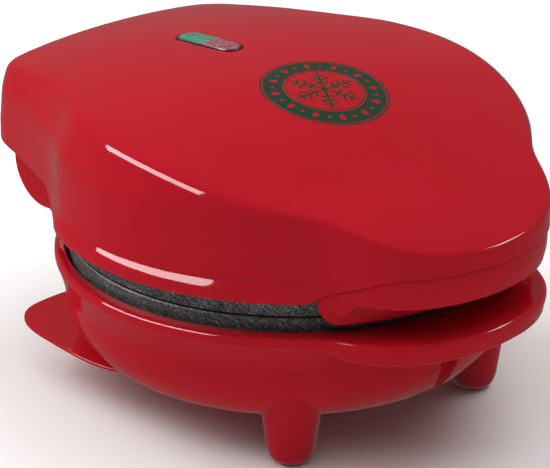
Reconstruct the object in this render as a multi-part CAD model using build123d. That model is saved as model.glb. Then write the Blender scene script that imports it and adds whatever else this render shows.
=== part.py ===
from build123d import *
import math
import os

os.makedirs("parts", exist_ok=True)

# ---------------------------------------------------------------- driving dimensions (mm)
# Working frame: the cooking plates' common axis is x = y = 0, the table is z = 0,
# -Y is the nose (front), +Y is the hinge tail (rear). Y_SHIFT then centres the whole part.
Y_SHIFT = -1.65

PLATE_R = 60.0            # both cooking plates
LOW_PLATE_TOP = 45.1      # lower plate's rim
UP_PLATE_BOT = 45.6       # upper plate's rim
PLATE_H = 10.0            # whole casting
PLATE_BAND = 5.4          # full-radius band of each casting
CAVITY_R = 51.0           # round baking cavity
CAVITY_D = 6.4
STUD_PITCH = 10.4         # waffle studs
STUD_BASE = 7.8
STUD_H = 4.2
SCREW_R = 55.4            # plate screws' circle
SCREW_ANGLES = (30.0, 150.0, 270.0)

WALL = 2.4                # moulded wall
RIM_Z = 51.3              # lower edge of the lid's rim
LIP_TOP = 57.2            # top of the lid's rounded lip
LIP_R = 66.4
BEVEL_Z = 75.0            # where the lid's side wall turns into the bevel
TAIL_Z = 58.5             # lower edge of the tail's walls
LEDGE_Z = 59.6            # parting line between the nose and its grip piece
GRIP_Z = 51.8             # underside of the nose
SKIRT_Z = 44.9            # lower edge of the skirt in front of the plates
CROWN_K = 0.0015          # cross fall of the crown, per mm

BASE_TOP = 42.0
FLANGE_BOT = 36.8
BASE_BOT = 13.2
WING_TOP = 15.2

HINGE_Y = 62.4
HINGE_Z = 53.4
EAR_R = 12.0              # round ears of the lid
EAR_X0, EAR_X1 = 31.5, 36.0
POST_X0, POST_X1 = 24.0, 31.2
POST_R = 6.5
PIN_R = 2.5
PIN_FIT = 0.05

FOOT_FRONT = (33.9, -37.9)
FOOT_REAR = (26.0, 45.0)
FOOT_TOP_R, FOOT_TIP_R = 8.15, 5.9

LAMP_Y = 33.0
LAMP_L, LAMP_W = 24.0, 8.2

# lid wall outline, right half, nose tip to tail end
LID_HALF = [(0, -80.2), (9.5, -79.3), (18.5, -76.6), (25.5, -72.2), (30.8, -66.3), (34.6, -59.8),
            (38.8, -53.6), (44.6, -47.7), (51.8, -39.8), (58.2, -29.6), (62.8, -17.6), (65.0, -4.5),
            (64.9, 6.5), (63.0, 17.0), (60.6, 24.6), (57.2, 31.2), (53.6, 38.6), (50.3, 46.5),
            (47.6, 54.0), (45.5, 60.5), (43.8, 66.3), (42.2, 71.8), (39.4, 77.0), (34.6, 80.6),
            (27.5, 82.3), (14.0, 83.5), (0, 83.9)]
# base flange outline, right half, nose tip to rear
BASE_HALF = [(0, -80.6), (9.0, -79.8), (16.5, -77.9), (23.3, -74.6), (28.6, -70.6), (32.4, -65.8),
             (35.2, -60.0), (38.6, -54.6), (43.6, -49.8), (50.2, -42.9), (56.6, -33.9), (61.6, -23.2),
             (64.6, -11.4), (65.5, 0), (64.6, 11.4), (61.5, 22.4), (56.6, 32.7), (50.1, 42.1),
             (42.1, 50.1), (32.7, 56.6), (22.4, 61.5), (11.4, 64.4), (0, 65.4)]
# crown of the lid along its centre line: (y, z)
CROWN = [(-92, 60.0), (-79, 66.3), (-66, 72.2), (-49.5, 78.2), (-38.3, 82.0), (-26.6, 85.5),
         (-13.6, 88.4), (0, 90.0), (13, 90.4), (25.4, 90.0), (38.1, 88.9), (52.9, 87.0),
         (66, 84.6), (74.2, 82.9), (82.3, 81.0), (92, 78.5)]
# outside profile of the bowl: (r, z)
BOWL = [(0, 13.2), (47.0, 13.2), (50.5, 13.5), (52.8, 14.5), (55.2, 16.2), (57.6, 18.8),
        (59.6, 22.0), (60.9, 26.0), (61.5, 31.0), (62.7, 34.4), (64.4, 38.3)]


# ---------------------------------------------------------------- helpers
def both_sides(half):
    left = [(-x, y) for x, y in reversed(half[1:-1])]
    return list(half) + left


def offset_points(points, distance):
    out = []
    n = len(points)
    for i in range(n):
        ax, ay = points[i - 1]
        bx, by = points[(i + 1) % n]
        tx, ty = bx - ax, by - ay
        size = math.hypot(tx, ty)
        out.append((points[i][0] + ty / size * distance, points[i][1] - tx / size * distance))
    return out


def loop_face(points, z):
    edge = Spline(*[(x, y, z) for x, y in points], periodic=True)
    return Face(Wire([edge]))


def prism(points, z0, z1):
    return extrude(loop_face(points, z0), amount=z1 - z0, dir=(0, 0, 1))


def draft(points_low, z0, points_high, z1):
    return loft([loop_face(points_low, z0), loop_face(points_high, z1)], ruled=True)


def crown_z(y):
    pts = CROWN
    for i in range(len(pts) - 1):
        if y <= pts[i + 1][0] or i == len(pts) - 2:
            y0, z0 = pts[i]
            y1, z1 = pts[i + 1]
            h = y1 - y0
            m0 = (z1 - pts[i - 1][1]) / (y1 - pts[i - 1][0]) if i > 0 else (z1 - z0) / h
            m1 = (pts[i + 2][1] - z0) / (pts[i + 2][0] - y0) if i + 2 < len(pts) else (z1 - z0) / h
            t = (y - y0) / h
            return ((2 * t**3 - 3 * t**2 + 1) * z0 + (t**3 - 2 * t**2 + t) * h * m0
                    + (-2 * t**3 + 3 * t**2) * z1 + (t**3 - t**2) * h * m1)
    return pts[-1][1]


def top_z(x, y):
    return crown_z(y) - CROWN_K * x * x


def above_crown(drop):
    rows = []
    for i in range(25):
        y = -92 + i * (184 / 24)
        rows.append([Vector(x, y, top_z(x, y) - drop) for x in range(-72, 73, 12)])
    face = Face.make_surface_from_array_of_points(rows, tol=0.01)
    return extrude(face, amount=60, dir=(0, 0, 1))


def turned(profile, closed=True):
    pts = [(r, 0, z) for r, z in profile]
    wire = Wire([Line(pts[i], pts[(i + 1) % len(pts)]) for i in range(len(pts))])
    return revolve(Face(wire), axis=Axis.Z, revolution_arc=360)


def tube_z(x, y, z0, z1, r, hole=0.0):
    body = Pos(x, y, (z0 + z1) / 2) * Cylinder(r, z1 - z0)
    if hole:
        body -= Pos(x, y, (z0 + z1) / 2) * Cylinder(hole, z1 - z0 + 2)
    return body


def tube_x(x0, x1, y, z, r):
    return Pos((x0 + x1) / 2, y, z) * Rot(0, 90, 0) * Cylinder(r, x1 - x0)


def tube_y(x, y0, y1, z, r):
    return Pos(x, (y0 + y1) / 2, z) * Rot(90, 0, 0) * Cylinder(r, y1 - y0)


def block(x0, x1, y0, y1, z0, z1):
    return Pos((x0 + x1) / 2, (y0 + y1) / 2, (z0 + z1) / 2) * Box(x1 - x0, y1 - y0, z1 - z0)


def on_circle(r, angle):
    a = math.radians(angle)
    return r * math.cos(a), r * math.sin(a)


def lead(points, r, radius):
    path = FilletPolyline(*points, radius=radius)
    start = Plane(origin=path @ 0, z_dir=path % 0)
    return sweep(start * Circle(r), path=path)


def screw(x, y, z_head, up, head_r, head_h, shank_r, length):
    """A cross-recess screw whose head's outer face is at z_head; up is +1 if the head looks up."""
    lo = z_head - up * head_h
    head = tube_z(x, y, min(z_head, lo), max(z_head, lo), head_r)
    end = lo - up * length
    shank = tube_z(x, y, min(lo, end), max(lo, end), shank_r)
    body = head + shank
    depth = head_h * 0.55
    zc = z_head - up * depth / 2
    cross = Pos(x, y, zc) * Box(head_r * 1.25, head_r * 0.26, depth + 0.001)
    cross += Pos(x, y, zc) * Box(head_r * 0.26, head_r * 1.25, depth + 0.001)
    return body - cross


def group(solids):
    return list(solids)


pieces = {}

# ---------------------------------------------------------------- lid housing
lid_loop = both_sides(LID_HALF)
lid_in = offset_points(lid_loop, -WALL)
cap_out = above_crown(0.0)
cap_in = above_crown(WALL)

outer = prism(lid_loop, RIM_Z, BEVEL_Z) + draft(lid_loop, BEVEL_Z, offset_points(lid_loop, -7.0), BEVEL_Z + 15.5)
outer -= cap_out
cavity = prism(lid_in, RIM_Z - 5, BEVEL_Z) + draft(lid_in, BEVEL_Z, offset_points(lid_in, -7.0), BEVEL_Z + 15.5)
cavity -= cap_in
shell = outer - cavity
# rounded lip round the plates, with its inward ledge
lip = turned([(60.6, RIM_Z), (65.2, RIM_Z), (66.0, RIM_Z + 0.6), (LIP_R, RIM_Z + 1.8), (LIP_R, LIP_TOP - 2.4),
              (65.9, LIP_TOP - 1.0), (64.9, LIP_TOP), (63.0, LIP_TOP), (63.0, RIM_Z + 2.0), (60.6, RIM_Z + 2.0)])
lip &= block(-80, 80, -53.0, 37.0, 40, 70)
shell += lip
# the tail's walls stop higher, so that they clear the base when the lid swings back
tail_cut = Pos(0, 0, 0) * extrude(
    Face(Wire([Line((0, 33.0, 40), (0, 100, 40)), Line((0, 100, 40), (0, 100, TAIL_Z)),
               Line((0, 100, TAIL_Z), (0, 40.0, TAIL_Z)), Line((0, 40.0, TAIL_Z), (0, 33.0, RIM_Z)),
               Line((0, 33.0, RIM_Z), (0, 33.0, 40))])), amount=80, dir=(1, 0, 0), both=True)
shell -= tail_cut
# the nose's lower part is the grip piece's
nose_cut = block(-60, 60, -100, -53.0, 40, LEDGE_Z)
shell -= nose_cut
# ears: round plates on the hinge axis, webbed to the tail's side walls
for s in (-1, 1):
    x0, x1 = sorted((s * EAR_X0, s * EAR_X1))
    ear = tube_x(x0, x1, HINGE_Y, HINGE_Z, EAR_R)
    ear += block(x0, x1, HINGE_Y - EAR_R, HINGE_Y + EAR_R, HINGE_Z, 90)
    web0, web1 = sorted((s * (EAR_X1 - 0.5), s * 50))
    web = block(web0, web1, HINGE_Y - 9.5, HINGE_Y - 7.2, TAIL_Z + 0.3, 90)
    web += block(web0, web1, HINGE_Y + 4.5, HINGE_Y + 6.8, TAIL_Z + 0.3, 90)
    inside = (prism(offset_points(lid_loop, -1.0), TAIL_Z - 30, BEVEL_Z)
              + draft(offset_points(lid_loop, -1.0), BEVEL_Z, offset_points(lid_loop, -8.0), BEVEL_Z + 15.5)) - above_crown(1.0)
    ear = (ear + web) & inside
    ear -= tube_x(x0 - 1, x1 + 1, HINGE_Y, HINGE_Z, PIN_R + PIN_FIT)
    ear -= tube_z(0, 0, 30, UP_PLATE_BOT + PLATE_H + 1.0, 60.6)
    shell += ear
# three bosses for the plate's screws
for a in SCREW_ANGLES:
    bx, by = on_circle(SCREW_R, a)
    boss = tube_z(bx, by, UP_PLATE_BOT + PLATE_H + 0.7, 90, 4.6)
    boss = boss & ((prism(offset_points(lid_loop, -1.0), 50, BEVEL_Z)
                    + draft(offset_points(lid_loop, -1.0), BEVEL_Z, offset_points(lid_loop, -8.0), BEVEL_Z + 15.5)) - above_crown(1.0))
    boss -= tube_z(bx, by, 50, UP_PLATE_BOT + PLATE_H + 16, 2.0)
    shell += boss
# two bosses behind the nose for the grip's screws
for s in (-1, 1):
    boss = tube_z(s * 16.0, -67.5, LEDGE_Z + 0.1, 80, 3.2) & outer
    boss = boss - above_crown(1.0)
    boss -= tube_z(s * 16.0, -67.5, 50, LEDGE_Z + 8, 1.55)
    shell += boss
# lamp window
slot = Pos(0, LAMP_Y, 85) * Rot(0, 0, 90) * extrude(SlotOverall(LAMP_L, LAMP_W), amount=20, both=True)
shell -= slot
pieces["lid_housing"] = shell

# ---------------------------------------------------------------- grip piece under the nose
grip = draft(offset_points(lid_loop, -2.3), GRIP_Z, offset_points(lid_loop, -0.25), LEDGE_Z - 0.05)
grip &= block(-60, 60, -100, -53.1, 40, 80)
hollow = draft(offset_points(lid_loop, -4.5), GRIP_Z + 2.0, offset_points(lid_loop, -2.5), LEDGE_Z + 1)
hollow &= block(-60, 60, -100, -54.5, 40, 80)
grip -= hollow
grip -= tube_z(0, 0, 40, 80, 60.8)
skirt = tube_z(0, 0, SKIRT_Z, GRIP_Z + 1.0, 65.6, 63.3) & block(-38.2, 38.2, -100, -50, 40, 80)
wedge = extrude(Face(Wire([Line((0, 0, 40), (-62, -84, 40)), Line((-62, -84, 40), (62, -84, 40)), Line((62, -84, 40), (0, 0, 40))])), amount=40, dir=(0, 0, 1))
skirt &= wedge
grip += skirt
grip -= block(-60, 60, -53.1, 0, RIM_Z - 0.1, 80)
for s in (-1, 1):
    sleeve = tube_z(s * 16.0, -67.5, GRIP_Z + 0.5, LEDGE_Z - 0.1, 3.4)
    grip += sleeve
    grip -= tube_z(s * 16.0, -67.5, 40, 80, 1.75)
    grip -= tube_z(s * 16.0, -67.5, 40, GRIP_Z + 2.2, 3.1)
pieces["grip_lower"] = grip
pieces["grip_screws"] = group([screw(s * 16.0, -67.5, GRIP_Z + 0.2, -1, 2.9, 1.8, 1.45, 9.0) for s in (-1, 1)])


# ---------------------------------------------------------------- cooking plates
def cooking_plate():
    """Lower casting, rim up at LOW_PLATE_TOP; the upper one is its mirror image."""
    top, bot = LOW_PLATE_TOP, LOW_PLATE_TOP - PLATE_H
    plate = turned([(0, bot), (57.6, bot), (58.6, bot + 1.0), (58.6, top - PLATE_BAND), (PLATE_R - 0.4, top - PLATE_BAND),
                    (PLATE_R, top - PLATE_BAND + 0.4), (PLATE_R, top - 0.35), (PLATE_R - 0.35, top), (CAVITY_R + 1.2, top),
                    (CAVITY_R + 0.2, top - 0.5), (CAVITY_R - 1.6, top - CAVITY_D), (0, top - CAVITY_D)])
    studs = []
    for i in range(-5, 6):
        for j in range(-5, 6):
            x, y = i * STUD_PITCH, j * STUD_PITCH
            if math.hypot(abs(x) + STUD_BASE / 2, abs(y) + STUD_BASE / 2) < CAVITY_R - 1.8:
                foot = Pos(x, y, top - CAVITY_D - 0.2) * Rectangle(STUD_BASE, STUD_BASE)
                head = Pos(x, y, top - CAVITY_D + STUD_H) * Rectangle(STUD_BASE - 2.2, STUD_BASE - 2.2)
                studs.append(loft([Face(foot.faces()[0].outer_wire()), Face(head.faces()[0].outer_wire())], ruled=True))
    plate = plate.fuse(*studs) if hasattr(plate, "fuse") else plate
    for a in SCREW_ANGLES:
        bx, by = on_circle(SCREW_R, a)
        plate -= tube_z(bx, by, bot - 1, top + 1, 2.15)
        plate -= tube_z(bx, by, top - 2.2, top + 1, 3.6)
    return plate


lower_plate = cooking_plate()
mid = (LOW_PLATE_TOP + UP_PLATE_BOT) / 2
upper_plate = mirror(lower_plate, about=Plane(origin=(0, 0, mid), z_dir=(0, 0, 1)))
pieces["lower_plate"] = lower_plate
pieces["upper_plate"] = upper_plate

low_back = LOW_PLATE_TOP - PLATE_H
up_back = UP_PLATE_BOT + PLATE_H


# ---------------------------------------------------------------- heating elements and heat shields
def element(z):
    ring = Pos(34.0, 0, z) * Rot(90, 0, 0) * Circle(3.1)
    coil = revolve(Rot(0, 0, 108) * ring, axis=Axis.Z, revolution_arc=324)
    return coil


def element_with_legs(z, away):
    coil = element(z)
    for a in (90 + 18, 90 - 18):
        ex, ey = on_circle(34.0, a)
        leg = tube_z(ex, ey, min(z, z + away * 7.5), max(z, z + away * 7.5), 1.6)
        coil += leg
    return coil


def shield(back, away, deep):
    """Pressed dish clamped between the plate's back and the bosses; away is the way the dish bulges."""
    t = 0.6
    pts = [(0, back + away * deep), (44.0, back + away * deep), (47.2, back + away * (deep - 1.0)), (50.2, back + away * 0.05),
           (57.4, back + away * 0.05), (57.4, back + away * (0.05 + t)), (50.8, back + away * (0.05 + t)),
           (47.8, back + away * (deep - 0.5)), (44.3, back + away * (deep + t)), (0, back + away * (deep + t))]
    dish = turned(pts)
    for a in SCREW_ANGLES:
        bx, by = on_circle(SCREW_R, a)
        dish -= tube_z(bx, by, back - 3, back + 3, 2.2)
    for a in (90 + 18, 90 - 18):
        ex, ey = on_circle(34.0, a)
        dish -= tube_z(ex, ey, back - 14, back + 14, 2.6)
    dish -= tube_z(0, 12.0, back - 14, back + 14, 3.4)
    return dish


pieces["lower_element"] = element_with_legs(low_back - 3.2, -1)
pieces["upper_element"] = element_with_legs(up_back + 3.2, 1)
pieces["lower_heat_shield"] = shield(low_back, -1, 8.1)
pieces["upper_heat_shield"] = shield(up_back, 1, 9.4)
pieces["lower_plate_screws"] = group([screw(*on_circle(SCREW_R, a), LOW_PLATE_TOP - 0.15, 1, 3.3, 1.9, 1.9, 19.0) for a in SCREW_ANGLES])
pieces["upper_plate_screws"] = group([screw(*on_circle(SCREW_R, a), UP_PLATE_BOT + 0.15, -1, 3.3, 1.9, 1.9, 19.0) for a in SCREW_ANGLES])

# thermostat and thermal fuse on the upper plate's back
thermostat = tube_z(0, 0, up_back + 0.02, up_back + 1.2, 9.5) + tube_z(0, 0, up_back + 1.2, up_back + 7.2, 7.6)
thermostat += block(-6.5, -1.6, -1.6, 1.6, up_back + 7.2, up_back + 9.0) + block(1.6, 6.5, -1.6, 1.6, up_back + 7.2, up_back + 9.0)
pieces["thermostat"] = thermostat
fuse = tube_x(-6.0, 6.0, -19.0, up_back + 2.2, 2.1) + tube_x(-10.5, 10.5, -19.0, up_back + 2.2, 0.6)
pieces["thermal_fuse"] = fuse
clip = block(-2.0, 2.0, -24.6, -21.25, up_back + 0.02, up_back + 0.9) + block(-2.0, 2.0, -22.1, -21.25, up_back + 0.02, up_back + 3.0)
pieces["fuse_clip"] = clip

# ---------------------------------------------------------------- indicator lamps
lens_clear = 0.25
capsule = extrude(SlotOverall(LAMP_L - 2 * lens_clear, LAMP_W - 2 * lens_clear), amount=20, both=True)
inner_caps = extrude(SlotOverall(LAMP_L - 1.5, LAMP_W - 1.5), amount=20, both=True)
capsule = Pos(0, LAMP_Y, 85) * Rot(0, 0, 90) * capsule
inner_caps = Pos(0, LAMP_Y, 85) * Rot(0, 0, 90) * inner_caps
cap_lens = above_crown(-0.45)       # the lens stands a little proud of the lid
cap_frame = above_crown(0.0)
frame = (capsule - inner_caps) & block(-15, 15, LAMP_Y - 20, LAMP_Y + 20, 83.5, 95)
flange = extrude(SlotOverall(LAMP_L + 5, LAMP_W + 5), amount=1.4)
flange = Pos(0, LAMP_Y, 83.0) * Rot(0, 0, 90) * flange
flange -= inner_caps
frame = (frame + flange) - cap_frame
pieces["lamp_frame"] = frame
lens = Pos(0, LAMP_Y, 85) * Rot(0, 0, 90) * extrude(SlotOverall(LAMP_L - 1.7, LAMP_W - 1.7), amount=20, both=True)
lens = (lens & block(-15, 15, LAMP_Y - 20, LAMP_Y + 20, 83.6, 95)) - cap_lens
pieces["lens_green"] = lens & block(-15, 15, LAMP_Y + 0.05, LAMP_Y + 20, 80, 95)
pieces["lens_red"] = lens & block(-15, 15, LAMP_Y - 20, LAMP_Y - 0.05, 80, 95)
holder = block(-5.5, 5.5, LAMP_Y - 12, LAMP_Y + 12, 75.0, 82.9)
holder -= block(-3.9, 3.9, LAMP_Y - 9.6, LAMP_Y - 0.6, 77.0, 83.5)
holder -= block(-3.9, 3.9, LAMP_Y + 0.6, LAMP_Y + 9.6, 77.0, 83.5)
pieces["lamp_holder"] = holder
bulbs = []
for s in (-1, 1):
    yb = LAMP_Y + s * 5.1
    bulb = tube_y(0, yb - 3.2, yb + 3.2, 79.6, 2.2) + Pos(0, yb + 3.2, 79.6) * Sphere(2.2)
    bulb &= block(-4, 4, yb - 3.2, yb + 4.3, 70, 90)
    bulbs.append(bulb)
pieces["neon_lamps"] = group(bulbs)

# ---------------------------------------------------------------- base housing
base_loop = both_sides(BASE_HALF)
inner_bowl = [(0, 15.6), (46.6, 15.6), (49.8, 15.9), (51.4, 16.8), (53.4, 18.2), (55.5, 20.5), (57.3, 23.3),
              (58.5, 26.6), (59.1, 31.3), (59.9, 38.0)]
bowl = turned(BOWL + [(0, FLANGE_BOT + 1.5)])
wing_pts = [(0, 5.0), (30, 5.0), (46, 7.0), (52.8, 9.9), (54.9, 15.4), (55.6, 22.0), (55.4, 30.2), (54.9, 38.0),
            (53.9, 46.0), (51.4, 52.4), (46.6, 57.0), (40.5, 58.6), (25, 58.8), (0, 58.8)]
wing = prism(both_sides(wing_pts), BASE_BOT, WING_TOP)
flange = prism(base_loop, FLANGE_BOT, BASE_TOP)
try:
    flange = fillet(flange.edges(), 1.8)
except Exception:
    pass
flange -= prism(offset_points(base_loop, -2.4), FLANGE_BOT - 1, BASE_TOP - 2.3) - tube_z(0, 0, 30, 50, 60.9)
feet = []
for fx, fy in (FOOT_FRONT, FOOT_REAR):
    for s in (-1, 1):
        # the front feet run up into the bowl's side, the rear ones end in the cord plate
        tall = 22.5 if fy < 0 else 14.2
        widest = FOOT_TIP_R + (FOOT_TOP_R - FOOT_TIP_R) / 15.5 * tall
        foot = Pos(s * fx, fy, 0.5) * Cone(FOOT_TIP_R, widest, tall, align=(Align.CENTER, Align.CENTER, Align.MIN))
        try:
            foot = fillet(foot.edges().sort_by(Axis.Z)[0], 2.6)
        except Exception:
            pass
        feet.append(foot)
housing = bowl + flange + wing
for foot in feet:
    housing += foot
hollow_bowl = turned(inner_bowl + [(60.5, 38.0), (60.5, 50), (0, 50)])
housing -= hollow_bowl
# cord-clip notch in the bowl's front, with a thickened wall behind it
NOTCH_TOP = 33.0
backing = turned([(50.4, 15.5), (53.6, 15.5), (57.4, 20.0), (59.4, 25.0), (60.0, 34.2), (55.4, 34.2), (55.2, 26.0), (54.0, 21.0), (50.4, 17.0)])
housing += backing & block(-7.1, 7.1, -70, -40, 10, 34.2)
notch_floor = turned([(0, 12), (52.0, 12), (52.6, 14.4), (54.3, 16.4), (56.4, 20.5), (57.6, 26), (57.8, 36), (0, 36)])
housing -= block(-4.75, 4.75, -70, -40, 10, NOTCH_TOP) - notch_floor
# hinge posts behind the plates, joined by a low wall
for s in (-1, 1):
    x0, x1 = sorted((s * POST_X0, s * POST_X1))
    post = tube_x(x0, x1, HINGE_Y, HINGE_Z, POST_R) + block(x0, x1, HINGE_Y - POST_R, HINGE_Y + POST_R, FLANGE_BOT + 0.5, HINGE_Z)
    post -= tube_z(0, 0, 0, 100, 60.9)
    rib = block(x0, x1, 52.0, HINGE_Y + POST_R, FLANGE_BOT - 6, FLANGE_BOT + 4.8)
    slope = extrude(Face(Wire([Line((0, 50, 20), (0, 80, 20)), Line((0, 80, 20), (0, 80, 47.5)), Line((0, 80, 47.5), (0, 50.0, 27.0)),
                               Line((0, 50.0, 27.0), (0, 50, 20))])), amount=60, dir=(1, 0, 0), both=True)
    rib -= slope
    rib -= hollow_bowl
    housing += post + rib
    housing -= tube_x(x0 - 1, x1 + 1, HINGE_Y, HINGE_Z, PIN_R)
wall = block(-POST_X0, POST_X0, 61.6, 66.4, FLANGE_BOT + 0.5, 46.5) - tube_z(0, 0, 0, 100, 61.4)
housing += wall
# bosses for the plate's screws
for a in SCREW_ANGLES:
    bx, by = on_circle(SCREW_R, a)
    boss = tube_z(bx, by, 15.0, low_back - 0.7, 4.6)
    boss &= turned([(0, 14.5), (50.5, 14.5), (52.8, 15.2), (55.2, 17.2), (57.6, 20.0), (59.0, 23.0), (60.2, 27.0), (60.8, 38), (0, 38)])
    housing += boss
    housing -= tube_z(bx, by, low_back - 17, low_back + 3, 2.0)
# round service opening, closed by the bottom cover, with four cover bosses
COVER_R = 40.0
housing -= tube_z(0, 0, 10, 15.7, COVER_R)
COVER_SCREWS = [on_circle(35.0, a) for a in (45, 135, 225, 315)]
for cx, cy in COVER_SCREWS:
    arm = tube_z(cx, cy, 15.7, 24.0, 3.6)
    ang = math.degrees(math.atan2(cy, cx))
    arm_bar = Rot(0, 0, ang) * block(35.0, 48.0, -1.6, 1.6, 15.59, 24.0)
    arm += arm_bar
    arm -= tube_z(cx, cy, 14, 25, 1.6)
    housing += arm
# cord inlet in the rear wall
INLET_Z = 25.5
housing -= tube_y(0, 50, 70, INLET_Z, 4.55)
# shallow seats for the pads in the tips of the feet
PADS = []
for fx, fy in (FOOT_FRONT, FOOT_REAR):
    for s in (-1, 1):
        housing -= tube_z(s * fx, fy, -1, 1.6, 3.3)
        PADS.append(tube_z(s * fx, fy, 0, 1.6, 3.25))
pieces["base_housing"] = housing
pieces["foot_pads"] = group(PADS)

cover = tube_z(0, 0, BASE_BOT + 0.1, 15.5, COVER_R - 0.3)
for i in range(-3, 4):
    cover -= Pos(0, i * 5.0, 14) * extrude(SlotOverall(24, 2.2), amount=4, both=True)
for cx, cy in COVER_SCREWS:
    cover -= tube_z(cx, cy, 10, 20, 1.75)
    cover -= tube_z(cx, cy, 10, BASE_BOT + 1.6, 3.1)
pieces["bottom_cover"] = cover
pieces["bottom_cover_screws"] = group([screw(cx, cy, BASE_BOT + 0.3, -1, 2.9, 1.2, 1.5, 8.5) for cx, cy in COVER_SCREWS])

# ---------------------------------------------------------------- hinge pins
for name, s in (("hinge_pin_left", -1), ("hinge_pin_right", 1)):
    x0, x1 = sorted((s * (POST_X0 + 0.5), s * (EAR_X1 + 0.6)))
    pieces[name] = tube_x(x0, x1, HINGE_Y, HINGE_Z, PIN_R)

# ---------------------------------------------------------------- cord inlet and wiring parts in the base
head = tube_y(0, 61.0, 63.2, INLET_Z, 6.0) - turned([(0, 10), (61.8, 10), (61.8, 60), (0, 60)])
bush = (tube_y(0, 57.4, 62.2, INLET_Z, 4.5) + head) - tube_y(0, 50, 70, INLET_Z, 3.2)
pieces["cord_inlet_bush"] = bush
clamp_base_z = 15.65
clamp = block(-9.0, 9.0, 42.5, 48.5, 15.4, clamp_base_z + 5.5)
clamp -= tube_y(0, 40, 52, clamp_base_z + 5.5, 3.0)
bar = block(-9.0, 9.0, 42.5, 48.5, clamp_base_z + 5.55, clamp_base_z + 9.0) - tube_y(0, 40, 52, clamp_base_z + 5.5, 3.0)
for s in (-1, 1):
    bar -= tube_z(s * 6.2, 45.5, 20, 40, 1.65)
    clamp -= tube_z(s * 6.2, 45.5, 17.0, 40, 1.5)
pieces["base_housing"] = pieces["base_housing"] + clamp
pieces["cord_clamp"] = bar
pieces["cord_clamp_screws"] = group([screw(s * 6.2, 45.5, clamp_base_z + 10.6, 1, 2.6, 1.6, 1.4, 7.5) for s in (-1, 1)])
block_body = block(-11.0, 11.0, 18.0, 28.0, 15.55, 24.5)
for i in (-1, 0, 1):
    block_body -= tube_y(i * 7.0, 15, 31, 19.5, 1.9)
    block_body -= tube_z(i * 7.0, 20.6, 19.5, 30, 1.7)
    block_body -= tube_z(i * 7.0, 25.4, 19.5, 30, 1.7)
pieces["terminal_block"] = block_body

# leads: short sleeved wires, each a bundle of its own
base_leads = []
for s in (-1, 1):
    ex, ey = on_circle(34.0, 90 + s * 18)
    base_leads.append(lead([(s * -7.0, 17.9, 19.5), (s * -7.0, 6.0, 19.5), (s * -20.0, 4.0, 20.5), (s * -20.0, 22.0, 21.5), (s * -14.0, 30.2, 22.0)], 1.1, 3.0))
pieces["base_leads"] = group(base_leads)
lid_leads = []
for s in (-1, 1):
    lid_leads.append(lead([(s * 3.2, 20.8, 79.0), (s * 3.2, 12.0, 79.0), (s * 9.0, 4.0, 74.0), (s * 12.0, -8.0, 72.0)], 1.0, 2.5))
pieces["lid_leads"] = group(lid_leads)

# ---------------------------------------------------------------- write
for name, made in pieces.items():
    if isinstance(made, list):
        moved = Compound([Pos(0, Y_SHIFT, 0) * solid for item in made for solid in item.solids()])
    else:
        moved = Pos(0, Y_SHIFT, 0) * made
    export_step(moved, "parts/" + name + ".step")
print(len(pieces), "nodes")
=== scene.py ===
import math

import bpy
import bmesh
import numpy as np
from mathutils import Vector, Matrix


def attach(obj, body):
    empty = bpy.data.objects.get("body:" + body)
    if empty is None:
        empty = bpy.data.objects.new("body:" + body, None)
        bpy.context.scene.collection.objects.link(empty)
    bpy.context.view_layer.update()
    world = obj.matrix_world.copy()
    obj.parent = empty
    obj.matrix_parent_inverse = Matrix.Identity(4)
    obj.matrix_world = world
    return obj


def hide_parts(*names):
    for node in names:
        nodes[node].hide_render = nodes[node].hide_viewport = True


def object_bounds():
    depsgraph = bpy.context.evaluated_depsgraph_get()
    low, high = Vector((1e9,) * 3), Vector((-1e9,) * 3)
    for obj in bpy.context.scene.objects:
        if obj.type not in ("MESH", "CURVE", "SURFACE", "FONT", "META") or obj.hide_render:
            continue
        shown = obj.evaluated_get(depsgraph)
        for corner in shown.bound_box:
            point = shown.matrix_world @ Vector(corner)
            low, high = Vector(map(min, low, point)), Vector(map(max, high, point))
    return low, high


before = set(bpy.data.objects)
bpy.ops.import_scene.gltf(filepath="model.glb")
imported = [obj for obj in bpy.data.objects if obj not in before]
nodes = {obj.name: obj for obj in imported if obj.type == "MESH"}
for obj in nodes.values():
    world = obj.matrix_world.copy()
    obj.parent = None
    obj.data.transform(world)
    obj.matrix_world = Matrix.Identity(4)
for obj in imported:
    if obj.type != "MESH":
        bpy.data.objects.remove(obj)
cad_lo, cad_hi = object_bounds()
cad_lo, cad_hi = [float(v) for v in cad_lo], [float(v) for v in cad_hi]
scene = bpy.context.scene
scene.view_settings.view_transform = "Standard"

Y_SHIFT = -1.65          # the plates' axis lies this far from the part's middle, mm

# ------------------------------------------------------------------ camera
cam_data = bpy.data.cameras.new("camera")
cam_data.sensor_fit = "HORIZONTAL"
cam_data.sensor_width = 36.0
cam_data.lens = 3418.4 / 550.0 * 36.0
cam_data.clip_start, cam_data.clip_end = 0.05, 20.0
camera = bpy.data.objects.new("camera", cam_data)
scene.collection.objects.link(camera)
scene.camera = camera
R = Vector((0.74148528, -0.6709622, 0.00305058))
U = Vector((0.26521717, 0.29726367, 0.91722089))
B = Vector((-0.61632738, -0.67929672, 0.39836733))
turn = Matrix((R, U, B)).transposed()
camera.rotation_mode = "QUATERNION"
camera.rotation_quaternion = turn.to_quaternion()
camera.location = (-0.57669339, -0.62961920 + Y_SHIFT * 0.001, 0.41347786)

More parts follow.
